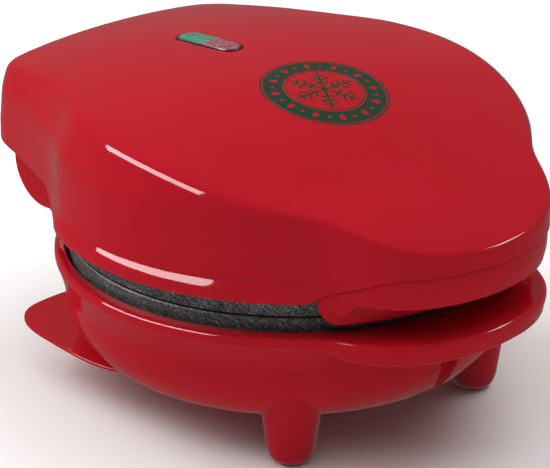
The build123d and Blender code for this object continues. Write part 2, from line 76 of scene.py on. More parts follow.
# ------------------------------------------------------------------ dimensions, mm
LID_HALF = [(0, -80.2), (9.5, -79.3), (18.5, -76.6), (25.6, -72.3), (30.9, -66.4), (34.7, -59.9),
            (38.7, -53.5), (44.3, -47.4), (51.3, -39.4), (57.7, -29.4), (62.4, -17.5), (64.7, -4.5),
            (64.6, 6.5), (62.7, 17.0), (60.2, 24.6), (56.7, 31.1), (53.0, 38.5), (49.9, 46.5),
            (47.2, 54.0), (45.1, 60.5), (43.4, 66.3), (41.8, 71.6), (39.1, 76.7), (34.4, 80.4),
            (27.5, 82.2), (14.0, 83.5), (0, 83.9)]
BASE_HALF = [(0, -79.2), (9.0, -78.5), (16.6, -76.6), (23.3, -73.4), (28.7, -69.2), (32.7, -64.4),
             (35.6, -59.3), (38.8, -54.2), (43.4, -49.6), (49.9, -42.7), (56.3, -33.8), (61.3, -23.1),
             (64.5, -11.4), (65.3, 0), (64.0, 11.3), (60.7, 22.1), (55.6, 32.1), (49.0, 41.2),
             (41.2, 49.0), (32.1, 55.6), (22.1, 60.7), (11.3, 63.9), (0, 64.9)]
CROWN = [(-92, 60.0), (-79, 66.3), (-66, 72.2), (-49.5, 78.2), (-38.3, 82.0), (-26.6, 85.5),
         (-13.6, 88.4), (0, 90.0), (13, 90.4), (25.4, 90.0), (38.1, 88.9), (52.9, 87.0),
         (66, 84.6), (74.2, 82.9), (82.3, 81.0), (92, 78.5)]
BOWL = [(47.0, 13.2), (51.0, 13.35), (53.2, 14.3), (55.4, 16.1), (57.7, 18.8),
        (59.6, 22.0), (60.9, 26.0), (61.5, 31.0), (61.8, 35.6)]
HINGE_Y, HINGE_Z = 62.4, 53.4
LAMP_Y, LAMP_L, LAMP_W = 33.0, 24.0, 8.2
WALL = 2.4
RIM_Z = 51.3
BEVEL_Z = 75.0


# ------------------------------------------------------------------ curves
def second_derivatives(knots, values, periodic):
    n = len(values)
    a = np.zeros((n, n))
    b = np.zeros((n,) + values.shape[1:])
    h = np.diff(knots)
    if periodic:
        for i in range(n):
            hp, hn = h[i - 1], h[i]
            a[i, i - 1] += hp / 6
            a[i, i] += (hp + hn) / 3
            a[i, (i + 1) % n] += hn / 6
            b[i] = (values[(i + 1) % n] - values[i]) / hn - (values[i] - values[i - 1]) / hp
    else:
        a[0, 0] = a[-1, -1] = 1.0
        for i in range(1, n - 1):
            a[i, i - 1] = h[i - 1] / 6
            a[i, i] = (h[i - 1] + h[i]) / 3
            a[i, i + 1] = h[i] / 6
            b[i] = (values[i + 1] - values[i]) / h[i] - (values[i] - values[i - 1]) / h[i - 1]
    return np.linalg.solve(a, b)


def spline_at(knots, values, m, t, periodic=False):
    """Cubic spline through values at knots, and its slope."""
    n = len(values)
    i = np.clip(np.searchsorted(knots, t, side="right") - 1, 0, len(knots) - 2)
    h = knots[i + 1] - knots[i]
    u = (t - knots[i]) / h
    j = (i + 1) % n if periodic else i + 1
    if values.ndim > 1:
        h, u = h[:, None], u[:, None]
    v = (1 - u) * values[i] + u * values[j] + h * h / 6 * (((1 - u)**3 - (1 - u)) * m[i] + (u**3 - u) * m[j])
    s = (values[j] - values[i]) / h + h / 6 * ((1 - 3 * (1 - u)**2) * m[i] + (3 * u * u - 1) * m[j])
    return v, s


def both_sides(half):
    left = [(-x, y) for x, y in reversed(half[1:-1])]
    return np.array(list(half) + left, float)


def offset_points(p, distance):
    t = np.roll(p, -1, 0) - np.roll(p, 1, 0)
    t /= np.linalg.norm(t, axis=1)[:, None]
    return p + np.stack([t[:, 1], -t[:, 0]], 1) * distance


class Loop:
    """A closed outline with an inward direction at each of its points."""

    def __init__(self, half, inset=7.0):
        self.ctrl = both_sides(half)
        nxt = np.roll(self.ctrl, -1, 0)
        self.knots = np.concatenate([[0], np.cumsum(np.linalg.norm(nxt - self.ctrl, axis=1))])
        inner = offset_points(self.ctrl, -inset)
        self.m = second_derivatives(self.knots, self.ctrl, True)
        self.inward = (inner - self.ctrl) / inset
        self.mi = second_derivatives(self.knots, self.inward, True)

    def sample(self, n):
        t = np.linspace(0, self.knots[-1], n, endpoint=False)
        p, _ = spline_at(self.knots, self.ctrl, self.m, t, True)
        d, _ = spline_at(self.knots, self.inward, self.mi, t, True)
        return p, d

    def radius_at(self, angle):
        """Distance from the plates' axis to the outline in these directions."""
        p, _ = self.sample(4000)
        a = np.unwrap(np.arctan2(p[:, 1], p[:, 0]))
        r = np.hypot(p[:, 0], p[:, 1])
        if a[-1] < a[0]:
            a, r = a[::-1], r[::-1]
        a0 = a[0]
        turn_ = 2 * np.pi
        a = np.concatenate([a - turn_, a, a + turn_])
        r = np.concatenate([r, r, r])
        w = (np.asarray(angle) - a0) % turn_ + a0
        return np.interp(w, a, r)


crown = np.array(CROWN, float)
crown_m = second_derivatives(crown[:, 0], crown[:, 1], False)


def top_z(x, y):
    shape = np.shape(y)
    yy = np.ravel(y).astype(float)
    z, _ = spline_at(crown[:, 0], crown[:, 1], crown_m, yy)
    return z.reshape(shape) - 0.0015 * np.asarray(x)**2 - 0.03


def smoothstep(a, b, t):
    u = np.clip((np.asarray(t, float) - a) / (b - a), 0, 1)
    return u * u * (3 - 2 * u)


def softened(corners, count, sigma, pad=8.0):
    """corners (N, C, 2) are section polylines. Samples each evenly and rounds its corners by sigma (N,)."""
    n, c, _ = corners.shape
    seg = np.linalg.norm(np.diff(corners, axis=1), axis=2)
    length = seg.sum(1)
    cum = np.concatenate([np.zeros((n, 1)), np.cumsum(seg, 1)], 1)
    extra = int(count * 0.35)
    grid = np.arange(-extra, count + extra) / (count - 1)
    s = grid[None, :] * length[:, None]
    out = np.zeros(s.shape + (2,))
    for k in range(c - 1):
        d = corners[:, k + 1] - corners[:, k]
        unit = d / np.maximum(seg[:, k], 1e-9)[:, None]
        lo = cum[:, k][:, None]
        here = (s >= lo) if k else np.ones(s.shape, bool)
        val = corners[:, k][:, None, :] + unit[:, None, :] * (s - lo)[..., None]
        if k and np.any(seg[:, k] < 1e-6):
            here &= (seg[:, k] > 1e-6)[:, None]
        out[here] = val[here]
    core = s[:, extra:extra + count]
    w = np.exp(-0.5 * ((core[:, :, None] - s[:, None, :]) / sigma[:, None, None])**2)
    w /= w.sum(2, keepdims=True)
    return np.einsum("nab,nbk->nak", w, out)


# ------------------------------------------------------------------ mesh helpers
def to_m(p):
    p = np.asarray(p, float)
    return np.stack([p[..., 0], p[..., 1] + Y_SHIFT, p[..., 2]], -1) * 0.001


def make_mesh(name, verts, faces, smooth=True):
    me = bpy.data.meshes.new(name)
    me.from_pydata([tuple(v) for v in verts], [], faces)
    me.update()
    if smooth:
        me.shade_smooth()
    o = bpy.data.objects.new(name, me)
    scene.collection.objects.link(o)
    return o


def grid_mesh(name, rows, close_u=True, close_v=False, caps=False):
    """rows: (M, N, 3) in mm; u runs along N, v along M."""
    rows = np.asarray(rows, float)
    m, n, _ = rows.shape
    verts = to_m(rows).reshape(-1, 3)
    faces = []
    for j in range(m if close_v else m - 1):
        j2 = (j + 1) % m
        for i in range(n if close_u else n - 1):
            i2 = (i + 1) % n
            faces.append((j * n + i, j * n + i2, j2 * n + i2, j2 * n + i))
    if caps:
        faces.append(tuple(range(n)))
        faces.append(tuple((m - 1) * n + i for i in reversed(range(n))))
    return make_mesh(name, verts, faces)


def outward(o):
    bm = bmesh.new()
    bm.from_mesh(o.data)
    bmesh.ops.recalc_face_normals(bm, faces=bm.faces)
    bm.to_mesh(o.data)
    bm.free()
    return o


def prism_yz(name, outline, x0, x1, bevel=0.7, segments=3):
    """A plate across X: outline is a list of (y, z) in mm."""
    bm = bmesh.new()
    lo = [bm.verts.new(to_m((x0, y, z))) for y, z in outline]
    hi = [bm.verts.new(to_m((x1, y, z))) for y, z in outline]
    bm.faces.new(lo)
    bm.faces.new(list(reversed(hi)))
    n = len(outline)
    for i in range(n):
        bm.faces.new((lo[i], hi[i], hi[(i + 1) % n], lo[(i + 1) % n]))
    bmesh.ops.recalc_face_normals(bm, faces=bm.faces)
    if bevel:
        rim = [e for e in bm.edges if len(e.link_faces) == 2 and e.calc_face_angle(0) > 0.6]
        bmesh.ops.bevel(bm, geom=rim, offset=bevel * 0.001, segments=segments, profile=0.5, affect="EDGES", clamp_overlap=True)
    me = bpy.data.meshes.new(name)
    bm.to_mesh(me)
    bm.free()
    me.shade_smooth()
    o = bpy.data.objects.new(name, me)
    scene.collection.objects.link(o)
    return o


def prism_xy(name, outline, z0, z1, bevel=0.7, segments=3):
    bm = bmesh.new()
    lo = [bm.verts.new(to_m((x, y, z0))) for x, y in outline]
    hi = [bm.verts.new(to_m((x, y, z1))) for x, y in outline]
    bm.faces.new(lo)
    bm.faces.new(list(reversed(hi)))
    n = len(outline)
    for i in range(n):
        bm.faces.new((lo[i], hi[i], hi[(i + 1) % n], lo[(i + 1) % n]))
    bmesh.ops.recalc_face_normals(bm, faces=bm.faces)
    if bevel:
        rim = [e for e in bm.edges if len(e.link_faces) == 2 and e.calc_face_angle(0) > 0.6]
        bmesh.ops.bevel(bm, geom=rim, offset=bevel * 0.001, segments=segments, profile=0.5, affect="EDGES", clamp_overlap=True)
    me = bpy.data.meshes.new(name)
    bm.to_mesh(me)
    bm.free()
    me.shade_smooth()
    o = bpy.data.objects.new(name, me)
    scene.collection.objects.link(o)
    return o


def turned_mesh(name, profile, centre, n=64, axis="z"):
    """Closed solid of revolution; the profile's first and last points lie on the axis."""
    ang = np.linspace(0, 2 * np.pi, n, endpoint=False)
    inner = profile[1:-1]
    verts, faces = [], []
    cx, cy, cz = centre

    def put(r, h, a):
        if axis == "z":
            return (cx + r * math.cos(a), cy + r * math.sin(a), cz + h)
        if axis == "x":
            return (cx + h, cy + r * math.cos(a), cz + r * math.sin(a))
        return (cx + r * math.sin(a), cy + h, cz + r * math.cos(a))
    verts.append(put(0, profile[0][1], 0))
    for r, h in inner:
        for a in ang:
            verts.append(put(r, h, a))
    verts.append(put(0, profile[-1][1], 0))
    for i in range(n):
        faces.append((0, 1 + (i + 1) % n, 1 + i))
        for k in range(len(inner) - 1):
            a0 = 1 + k * n
            faces.append((a0 + i, a0 + (i + 1) % n, a0 + n + (i + 1) % n, a0 + n + i))
        last = 1 + (len(inner) - 1) * n
        faces.append((last + i, last + (i + 1) % n, len(verts) - 1))
    o = make_mesh(name, to_m(np.array(verts)), faces)
    return outward(o)


def boolean(o, others, operation):
    """Exact union or difference with each of the others, which are then removed."""
    for other in others:
        mod = o.modifiers.new("cut", "BOOLEAN")
        mod.operation = operation
        mod.solver = "EXACT"
        mod.object = other
        bpy.context.view_layer.update()
        dg = bpy.context.evaluated_depsgraph_get()
        me = bpy.data.meshes.new_from_object(o.evaluated_get(dg))
        o.modifiers.clear()
        old = o.data
        o.data = me
        bpy.data.meshes.remove(old)
        gone = other.data
        bpy.data.objects.remove(other)
        bpy.data.meshes.remove(gone)
    return o


def tidy(o, angle=34.0, merge=0.000004):
    bm = bmesh.new()
    bm.from_mesh(o.data)
    bmesh.ops.remove_doubles(bm, verts=bm.verts, dist=merge)
    bmesh.ops.dissolve_degenerate(bm, edges=bm.edges, dist=merge)
    loose = [v for v in bm.verts if not v.link_faces]
    bmesh.ops.delete(bm, geom=loose, context="VERTS")
    rim = [e for e in bm.edges if e.is_boundary]
    if rim:
        bmesh.ops.holes_fill(bm, edges=rim, sides=0)
    bm.to_mesh(o.data)
    bm.free()
    o.data.shade_smooth()
    o.data.set_sharp_from_angle(angle=math.radians(angle))
    mod = o.modifiers.new("normals", "WEIGHTED_NORMAL")
    mod.keep_sharp = True
    mod.weight = 60
    return o


# ------------------------------------------------------------------ material helpers
def new_material(name):
    mat = bpy.data.materials.new(name)
    mat.use_nodes = True
    nt = mat.node_tree
    nt.nodes.clear()
    out = nt.nodes.new("ShaderNodeOutputMaterial")
    bsdf = nt.nodes.new("ShaderNodeBsdfPrincipled")
    nt.links.new(bsdf.outputs[0], out.inputs[0])
    return mat, nt, bsdf


def node(nt, kind, **kw):
    nd = nt.nodes.new("ShaderNode" + kind)
    for k, v in kw.items():
        if k.startswith("in_"):
            nd.inputs[k[3:].replace("_", " ")].default_value = v
        else:
            setattr(nd, k, v)
    return nd


def math_node(nt, op, a, b=None, c=None, clamp=False):
    nd = nt.nodes.new("ShaderNodeMath")
    nd.operation = op
    nd.use_clamp = clamp
    for i, v in enumerate((a, b, c)):
        if v is None:
            continue
        if isinstance(v, (int, float)):
            nd.inputs[i].default_value = v
        else:
            nt.links.new(v, nd.inputs[i])
    return nd.outputs[0]


def noise(nt, vec, scale, detail=4.0, rough=0.55, distortion=0.0):
    nd = node(nt, "TexNoise")
    nd.inputs["Scale"].default_value = scale
    nd.inputs["Detail"].default_value = detail
    nd.inputs["Roughness"].default_value = rough
    nd.inputs["Distortion"].default_value = distortion
    nt.links.new(vec, nd.inputs["Vector"])
    return nd.outputs["Fac"]


def ramp(nt, fac, stops, interpolation="LINEAR"):
    nd = node(nt, "ValToRGB")
    nd.color_ramp.interpolation = interpolation
    el = nd.color_ramp.elements
    while len(el) < len(stops):
        el.new(0.5)
    for e, (pos, col) in zip(el, stops):
        e.position = pos
        e.color = (*col, 1.0) if len(col) == 3 else col
    nt.links.new(fac, nd.inputs[0])
    return nd.outputs[0]


def mix_colour(nt, fac, a, b, blend="MIX"):
    nd = node(nt, "Mix", data_type="RGBA", blend_type=blend)
    for socket, v in ((nd.inputs[0], fac), (nd.inputs[6], a), (nd.inputs[7], b)):
        if isinstance(v, (int, float)):
            socket.default_value = v
        elif isinstance(v, tuple):
            socket.default_value = (*v, 1.0)
        else:
            nt.links.new(v, socket)
    return nd.outputs[2]


def bump(nt, height, strength, distance=0.001, normal=None):
    nd = node(nt, "Bump")
    nd.inputs["Strength"].default_value = strength
    nd.inputs["Distance"].default_value = distance
    nt.links.new(height, nd.inputs["Height"])
    if normal is not None:
        nt.links.new(normal, nd.inputs["Normal"])
    return nd.outputs[0]


def obj_vec(nt):
    return node(nt, "TexCoord").outputs["Object"]


def scaled(nt, vec, s):
    nd = node(nt, "Mapping")
    nd.inputs["Scale"].default_value = s
    nt.links.new(vec, nd.inputs["Vector"])
    return nd.outputs[0]


def glossy_red(name, base=(0.462, 0.0070, 0.0170), dark=(0.442, 0.0062, 0.0152), rough=0.055):
    """Injection-moulded gloss plastic: a slight flow variation, and a very fine moulding ripple."""
    mat, nt, p = new_material(name)
    v = obj_vec(nt)
    flow = noise(nt, scaled(nt, v, (14, 22, 30)), 1.0, 3.0, 0.5, 0.6)
    nt.links.new(mix_colour(nt, ramp(nt, flow, [(0.35, (0, 0, 0)), (0.65, (1, 1, 1))]), dark, base), p.inputs["Base Color"])
    fine = noise(nt, v, 900.0, 2.0)
    r = node(nt, "MapRange")
    r.inputs["To Min"].default_value = rough - 0.02
    r.inputs["To Max"].default_value = rough + 0.02
    nt.links.new(fine, r.inputs["Value"])
    nt.links.new(r.outputs[0], p.inputs["Roughness"])
    ripple = noise(nt, v, 260.0, 2.0, 0.45)
    n1 = bump(nt, ripple, 0.012, 0.0006)
    nt.links.new(n1, p.inputs["Normal"])
    p.inputs["IOR"].default_value = 1.5
    p.inputs["Specular IOR Level"].default_value = 0.32
    return mat


def speckled_coating(name):
    """Dark stone-look non-stick coating: fine light flecks, and faint diagonal hairlines round the rim."""
    mat, nt, p = new_material(name)
    tc = node(nt, "TexCoord")
    v = tc.outputs["Object"]
    sep = node(nt, "SeparateXYZ")
    nt.links.new(v, sep.inputs[0])
    y0 = math_node(nt, "SUBTRACT", sep.outputs[1], Y_SHIFT * 0.001)
    ang = math_node(nt, "ARCTAN2", sep.outputs[0], math_node(nt, "MULTIPLY", y0, -1.0))
    arc = math_node(nt, "MULTIPLY", ang, 0.060)
    # hairlines that lean at 45 degrees on the rim
    lean = math_node(nt, "ADD", arc, sep.outputs[2])
    cross = math_node(nt, "SUBTRACT", arc, sep.outputs[2])
    comb = node(nt, "CombineXYZ")
    nt.links.new(math_node(nt, "MULTIPLY", lean, 2600.0), comb.inputs[0])
    nt.links.new(math_node(nt, "MULTIPLY", cross, 260.0), comb.inputs[1])
    hair = noise(nt, comb.outputs[0], 1.0, 3.0, 0.6)
    # only the outer band has the hairlines; the flat faces keep the grit alone
    rad = math_node(nt, "SQRT", math_node(nt, "ADD", math_node(nt, "MULTIPLY", y0, y0), math_node(nt, "MULTIPLY", sep.outputs[0], sep.outputs[0])))
    on_band = node(nt, "MapRange")
    on_band.inputs["From Min"].default_value = 0.0588
    on_band.inputs["From Max"].default_value = 0.0596
    nt.links.new(rad, on_band.inputs["Value"])
    even = noise(nt, v, 1300.0, 2.0, 0.6)
    hair = math_node(nt, "ADD", math_node(nt, "MULTIPLY", hair, on_band.outputs[0]),
                     math_node(nt, "MULTIPLY", even, math_node(nt, "SUBTRACT", 1.0, on_band.outputs[0])))
    grit = noise(nt, v, 2000.0, 3.0, 0.75)
    cloud = noise(nt, v, 210.0, 3.0)
    tone = math_node(nt, "ADD", math_node(nt, "MULTIPLY", grit, 0.52), math_node(nt, "MULTIPLY", hair, 0.40))
    tone = math_node(nt, "ADD", tone, math_node(nt, "MULTIPLY", cloud, 0.08))
    body = ramp(nt, tone, [(0.40, (0.004, 0.006, 0.006)), (0.48, (0.036, 0.045, 0.045)), (0.55, (0.150, 0.170, 0.168)), (0.63, (0.46, 0.49, 0.47))])
    fleck = node(nt, "TexVoronoi")
    fleck.inputs["Scale"].default_value = 1500.0
    nt.links.new(v, fleck.inputs["Vector"])
    spots = ramp(nt, fleck.outputs["Distance"], [(0.10, (1, 1, 1)), (0.22, (0, 0, 0))])
    pick = ramp(nt, noise(nt, v, 700.0, 1.0), [(0.55, (0, 0, 0)), (0.60, (1, 1, 1))])
    spots = math_node(nt, "MULTIPLY", spots, pick)
    warm = mix_colour(nt, noise(nt, v, 320.0, 1.0), (0.36, 0.34, 0.30), (0.60, 0.62, 0.63))
    nt.links.new(mix_colour(nt, spots, body, warm), p.inputs["Base Color"])
    p.inputs["Metallic"].default_value = 0.10
    r = node(nt, "MapRange")
    r.inputs["To Min"].default_value = 0.30
    r.inputs["To Max"].default_value = 0.55
    nt.links.new(grit, r.inputs["Value"])
    nt.links.new(r.outputs[0], p.inputs["Roughness"])
    nt.links.new(bump(nt, tone, 0.35, 0.00008), p.inputs["Normal"])
    return mat


def metal(name, colour, rough, streak=(900, 60, 60), variation=0.25, strength=0.08):
    mat, nt, p = new_material(name)
    v = obj_vec(nt)
    lines = noise(nt, scaled(nt, v, streak), 1.0, 4.0, 0.6)
    dark = tuple(c * (1 - variation) for c in colour)
    nt.links.new(mix_colour(nt, lines, dark, colour), p.inputs["Base Color"])
    p.inputs["Metallic"].default_value = 1.0
    r = node(nt, "MapRange")
    r.inputs["To Min"].default_value = max(0.05, rough - 0.08)
    r.inputs["To Max"].default_value = rough + 0.10
    nt.links.new(noise(nt, v, 420.0, 3.0), r.inputs["Value"])
    nt.links.new(r.outputs[0], p.inputs["Roughness"])
    nt.links.new(bump(nt, lines, strength, 0.0001), p.inputs["Normal"])
    return mat


def plastic(name, colour, rough=0.4, grain=1200.0, strength=0.15, variation=0.15, spec=0.5):
    mat, nt, p = new_material(name)
    v = obj_vec(nt)
    grains = noise(nt, v, grain, 3.0, 0.6)
    soft = noise(nt, v, 60.0, 2.0)
    dark = tuple(c * (1 - variation) for c in colour)
    nt.links.new(mix_colour(nt, soft, dark, colour), p.inputs["Base Color"])
    r = node(nt, "MapRange")
    r.inputs["To Min"].default_value = max(0.04, rough - 0.06)
    r.inputs["To Max"].default_value = rough + 0.08
    nt.links.new(grains, r.inputs["Value"])
    nt.links.new(r.outputs[0], p.inputs["Roughness"])
    p.inputs["Specular IOR Level"].default_value = spec
    nt.links.new(bump(nt, grains, strength, 0.00012), p.inputs["Normal"])
    return mat


def lens_material(name, colour, deep, glow):
    """Tinted clear window over a ribbed reflector: fine lengthwise ribs, and a mottled tone that runs from deep to
    pale.
    """
    mat, nt, p = new_material(name)
    v = obj_vec(nt)
    sep = node(nt, "SeparateXYZ")
    nt.links.new(v, sep.inputs[0])
    ribs = math_node(nt, "SINE", math_node(nt, "MULTIPLY", sep.outputs[0], 5200.0))
    cells = math_node(nt, "SINE", math_node(nt, "MULTIPLY", sep.outputs[1], 5200.0))
    grid_ = math_node(nt, "MULTIPLY", ribs, cells)
    mottled = noise(nt, v, 800.0, 3.0)
    fac = math_node(nt, "ADD", math_node(nt, "MULTIPLY", grid_, 0.10), mottled)
    nt.links.new(ramp(nt, fac, [(0.30, deep), (0.55, colour), (0.75, glow)]), p.inputs["Base Color"])
    p.inputs["Roughness"].default_value = 0.16
    p.inputs["Transmission Weight"].default_value = 0.12
    p.inputs["IOR"].default_value = 1.49
    p.inputs["Coat Weight"].default_value = 0.6
    p.inputs["Coat Roughness"].default_value = 0.05
    nt.links.new(bump(nt, math_node(nt, "ADD", grid_, mottled), 0.10, 0.00006), p.inputs["Normal"])
    return mat


RED = glossy_red("red_gloss")
RED_COVER = glossy_red("red_cover_gloss", rough=0.22)
COATING = speckled_coating("stone_coating")
STEEL = metal("element_steel", (0.42, 0.41, 0.40), 0.32)
ALUMINIUM = metal("shield_aluminium", (0.78, 0.79, 0.80), 0.28, (60, 900, 60))
SCREW = metal("screw_steel", (0.62, 0.62, 0.60), 0.25, (400, 400, 60))
PIN = metal("pin_steel", (0.70, 0.70, 0.71), 0.18, (60, 900, 900))
RUBBER = plastic("pad_rubber", (0.030, 0.030, 0.032), 0.62, 1500.0, 0.4, 0.25, 0.35)
BUSH = plastic("bush_rubber", (0.028, 0.028, 0.030), 0.5, 1400.0, 0.35, 0.2, 0.4)
CERAMIC = plastic("white_insulator", (0.78, 0.76, 0.70), 0.45, 900.0, 0.2, 0.08)
BAKELITE = plastic("thermostat_case", (0.10, 0.085, 0.075), 0.4, 900.0, 0.2, 0.2)
FUSE = metal("fuse_case", (0.72, 0.66, 0.52), 0.3, (900, 60, 60))
FRAME = plastic("lamp_frame_plastic", (0.055, 0.010, 0.012), 0.12, 900.0, 0.05, 0.2)
GREEN = lens_material("lens_green", (0.060, 0.330, 0.205), (0.024, 0.205, 0.120), (0.150, 0.470, 0.330))
PINK = lens_material("lens_red", (0.370, 0.120, 0.140), (0.230, 0.052, 0.064), (0.500, 0.230, 0.250))
GLASS = plastic("lamp_glass", (0.55, 0.42, 0.34), 0.1, 500.0, 0.02, 0.1)
SLEEVE = plastic("lead_sleeve", (0.66, 0.64, 0.60), 0.55, 2200.0, 0.5, 0.15)

for names, mat in (
        (("lid_housing", "base_housing", "grip_lower"), RED), (("bottom_cover",), RED_COVER),
        (("lower_plate", "upper_plate"), COATING), (("lower_element", "upper_element"), STEEL),
        (("lower_heat_shield", "upper_heat_shield", "fuse_clip"), ALUMINIUM),
        (("bottom_cover_screws", "cord_clamp_screws", "grip_screws", "lower_plate_screws", "upper_plate_screws"), SCREW),
        (("hinge_pin_left", "hinge_pin_right"), PIN), (("foot_pads",), RUBBER), (("cord_inlet_bush",), BUSH),
        (("terminal_block", "cord_clamp", "lamp_holder"), CERAMIC), (("thermostat",), BAKELITE), (("thermal_fuse",), FUSE),
        (("lamp_frame",), FRAME), (("lens_green",), GREEN), (("lens_red",), PINK), (("neon_lamps",), GLASS),
        (("lid_leads", "base_leads"), SLEEVE)):
    for n in names:
        o = nodes[n]
        if not o.material_slots:
            o.data.materials.append(mat)
        for s in o.material_slots:
            s.material = mat


# ------------------------------------------------------------------ lid shell
def ledge_height(x, y):
    """Lower edge of the lid's wall: rim round the plates, ledge at the nose, higher at the tail."""
    z = np.full(np.shape(x), RIM_Z)
    ax = np.abs(x)
    nose_x = np.array([0, 20, 26.5, 28.8, 30.4, 33.1, 35.1, 36.5, 38.2, 39.4, 41.0])
    nose_z = np.array([60.5, 60.5, 60.3, 59.8, 58.9, 57.1, 55.7, 54.8, 53.4, 52.2, RIM_Z])
    nose = y < -49.0
    z = np.where(nose, np.interp(ax, nose_x, nose_z), z)
    tail = RIM_Z + (58.5 - RIM_Z) * smoothstep(31.5, 41.5, y)
    return np.where(y > 25, tail, z)


def build_lid():
    n = 600
    loop = Loop(LID_HALF)
    p, d = loop.sample(n)
    zb = ledge_height(p[:, 0], p[:, 1])
    zb = np.array([np.dot(np.take(zb, range(i - 3, i + 4), mode="wrap"), [0.05, 0.12, 0.2, 0.26, 0.2, 0.12, 0.05]) for i in range(n)])
    w = smoothstep(-57.5, -50.0, p[:, 1]) * (1 - smoothstep(22.0, 36.0, p[:, 1]))
    # where the bevel meets the crown
    s = np.zeros(n)
    lo_, hi_ = np.zeros(n), np.full(n, 1.6)
    below = top_z(p[:, 0], p[:, 1]) <= BEVEL_Z
    for _ in range(40):
        mid = (lo_ + hi_) / 2
        q = p + d * (7 * mid)[:, None]
        under = BEVEL_Z + 15.5 * mid < top_z(q[:, 0], q[:, 1])
        lo_ = np.where(under, mid, lo_)
        hi_ = np.where(under, hi_, mid)
    s = np.where(below, 0.0, (lo_ + hi_) / 2)
    dc = 7 * s
    q = p + d * dc[:, None]
    zc = top_z(q[:, 0], q[:, 1])
    # lower rows: rounded lip, or a plain rounded edge
    lip = np.array([(0.5, 0), (-0.1, 0.03), (-0.55, 0.2), (-0.85, 0.5), (-1.05, 0.9), (-1.17, 1.4), (-1.2, 1.9), (-1.2, 2.5), (-1.2, 2.95),
                    (-1.17, 3.3), (-1.09, 3.6), (-0.93, 3.95), (-0.68, 4.42), (-0.40, 4.92), (-0.13, 5.38), (-0.03, 5.56), (0.0, 5.72), (0.0, 5.95)])
    plain = np.array([(0.75, 0), (0.45, 0.06), (0.25, 0.16), (0.1, 0.33), (0.02, 0.55), (0, 0.9), (0, 1.3), (0, 1.8), (0, 2.2), (0, 2.6),
                      (0, 3.0), (0, 3.4), (0, 3.8), (0, 4.3), (0, 4.7), (0, 5.1), (0, 5.5), (0, 5.9)])
    wall_top = np.minimum(BEVEL_Z, zc)
    q_scale = np.clip((wall_top - zb) * 0.42 / 5.9, 0, 1)
    rows_d, rows_z = [], []
    lip_scale = np.clip((66.3 - np.hypot(p[:, 0], p[:, 1])) / 1.2, 0.9, 1.7)
    for (ld, lz), (sd, sz) in zip(lip, plain):
        rows_d.append(w * (ld * lip_scale if ld < 0 else ld) + (1 - w) * sd)
        rows_z.append(zb + w * lz + (1 - w) * sz * q_scale)
    z_start = rows_z[-1].copy()
    # wall, bevel and the turn on to the crown
    reach = 9.0
    steps = 14
    corners = [np.stack([np.zeros(n), z_start + 0.3], 1), np.stack([np.zeros(n), wall_top], 1), np.stack([dc, zc], 1)]
    for k in range(1, steps + 1):
        dd = dc + reach * k / steps
        qq = p + d * dd[:, None]
        corners.append(np.stack([dd, top_z(qq[:, 0], qq[:, 1])], 1))
    corners = np.stack(corners, 1)
    lean = 1.2 * smoothstep(70, 80, p[:, 1])        # the tail's end wall leans in towards its top
    corners[:, 1, 0] += lean
    corners[:, 2:, 0] = np.maximum(corners[:, 2:, 0], corners[:, 1:2, 0])
    nose = 1 - smoothstep(-66, -52, p[:, 1])
    sigma = 1.5 * (1 - nose) + 0.8 * nose
    sect = softened(corners, 76, sigma)
    for k in range(76):
        rows_d.append(sect[:, k, 0])
        rows_z.append(sect[:, k, 1])
    rows = [np.concatenate([p + d * dd[:, None], zz[:, None]], 1) for dd, zz in zip(rows_d, rows_z)]
    # crown, from the turn to the lamp window
    start = rows[-1]
    centre = np.array([0.0, LAMP_Y])
    ray = start[:, :2] - centre
    r_, half = LAMP_W / 2, LAMP_L / 2 - LAMP_W / 2
    ang = np.arctan2(ray[:, 1], ray[:, 0])
    window = []
    for a in ang:
        cx, sy = math.cos(a), math.sin(a)
        if abs(cx) > 1e-9 and abs(sy / cx) * r_ <= half:
            window.append((math.copysign(r_, cx), sy / abs(cx) * r_))
        else:
            b = math.copysign(half, sy)
            k = sy * b
            t = k + math.sqrt(max(0.0, k * k - (half * half - r_ * r_)))
            window.append((t * cx, t * sy))
    window = np.array(window) + centre
    out_dir = window - centre
    out_dir /= np.linalg.norm(out_dir, axis=1)[:, None]
    lip_ring = window + out_dir * 0.35
    turns = np.concatenate([np.linspace(0, 1, 27)[1:-1], [0.985, 1.0]])
    zs = rows[-1][:, 2]
    corr = zs - top_z(start[:, 0], start[:, 1])
    for t in turns:
        xy = start[:, :2] * (1 - t) + lip_ring * t
        z = top_z(xy[:, 0], xy[:, 1]) + corr * max(0.0, 1 - t * 9)
        rows.append(np.concatenate([xy, z[:, None]], 1))
    for off, drop in ((0.22, 0.03), (0.1, 0.1), (0.02, 0.22), (0.0, 0.4), (0.0, 1.4), (0.0, WALL)):
        xy = window + out_dir * off
        rows.append(np.concatenate([xy, (top_z(xy[:, 0], xy[:, 1]) - drop)[:, None]], 1))
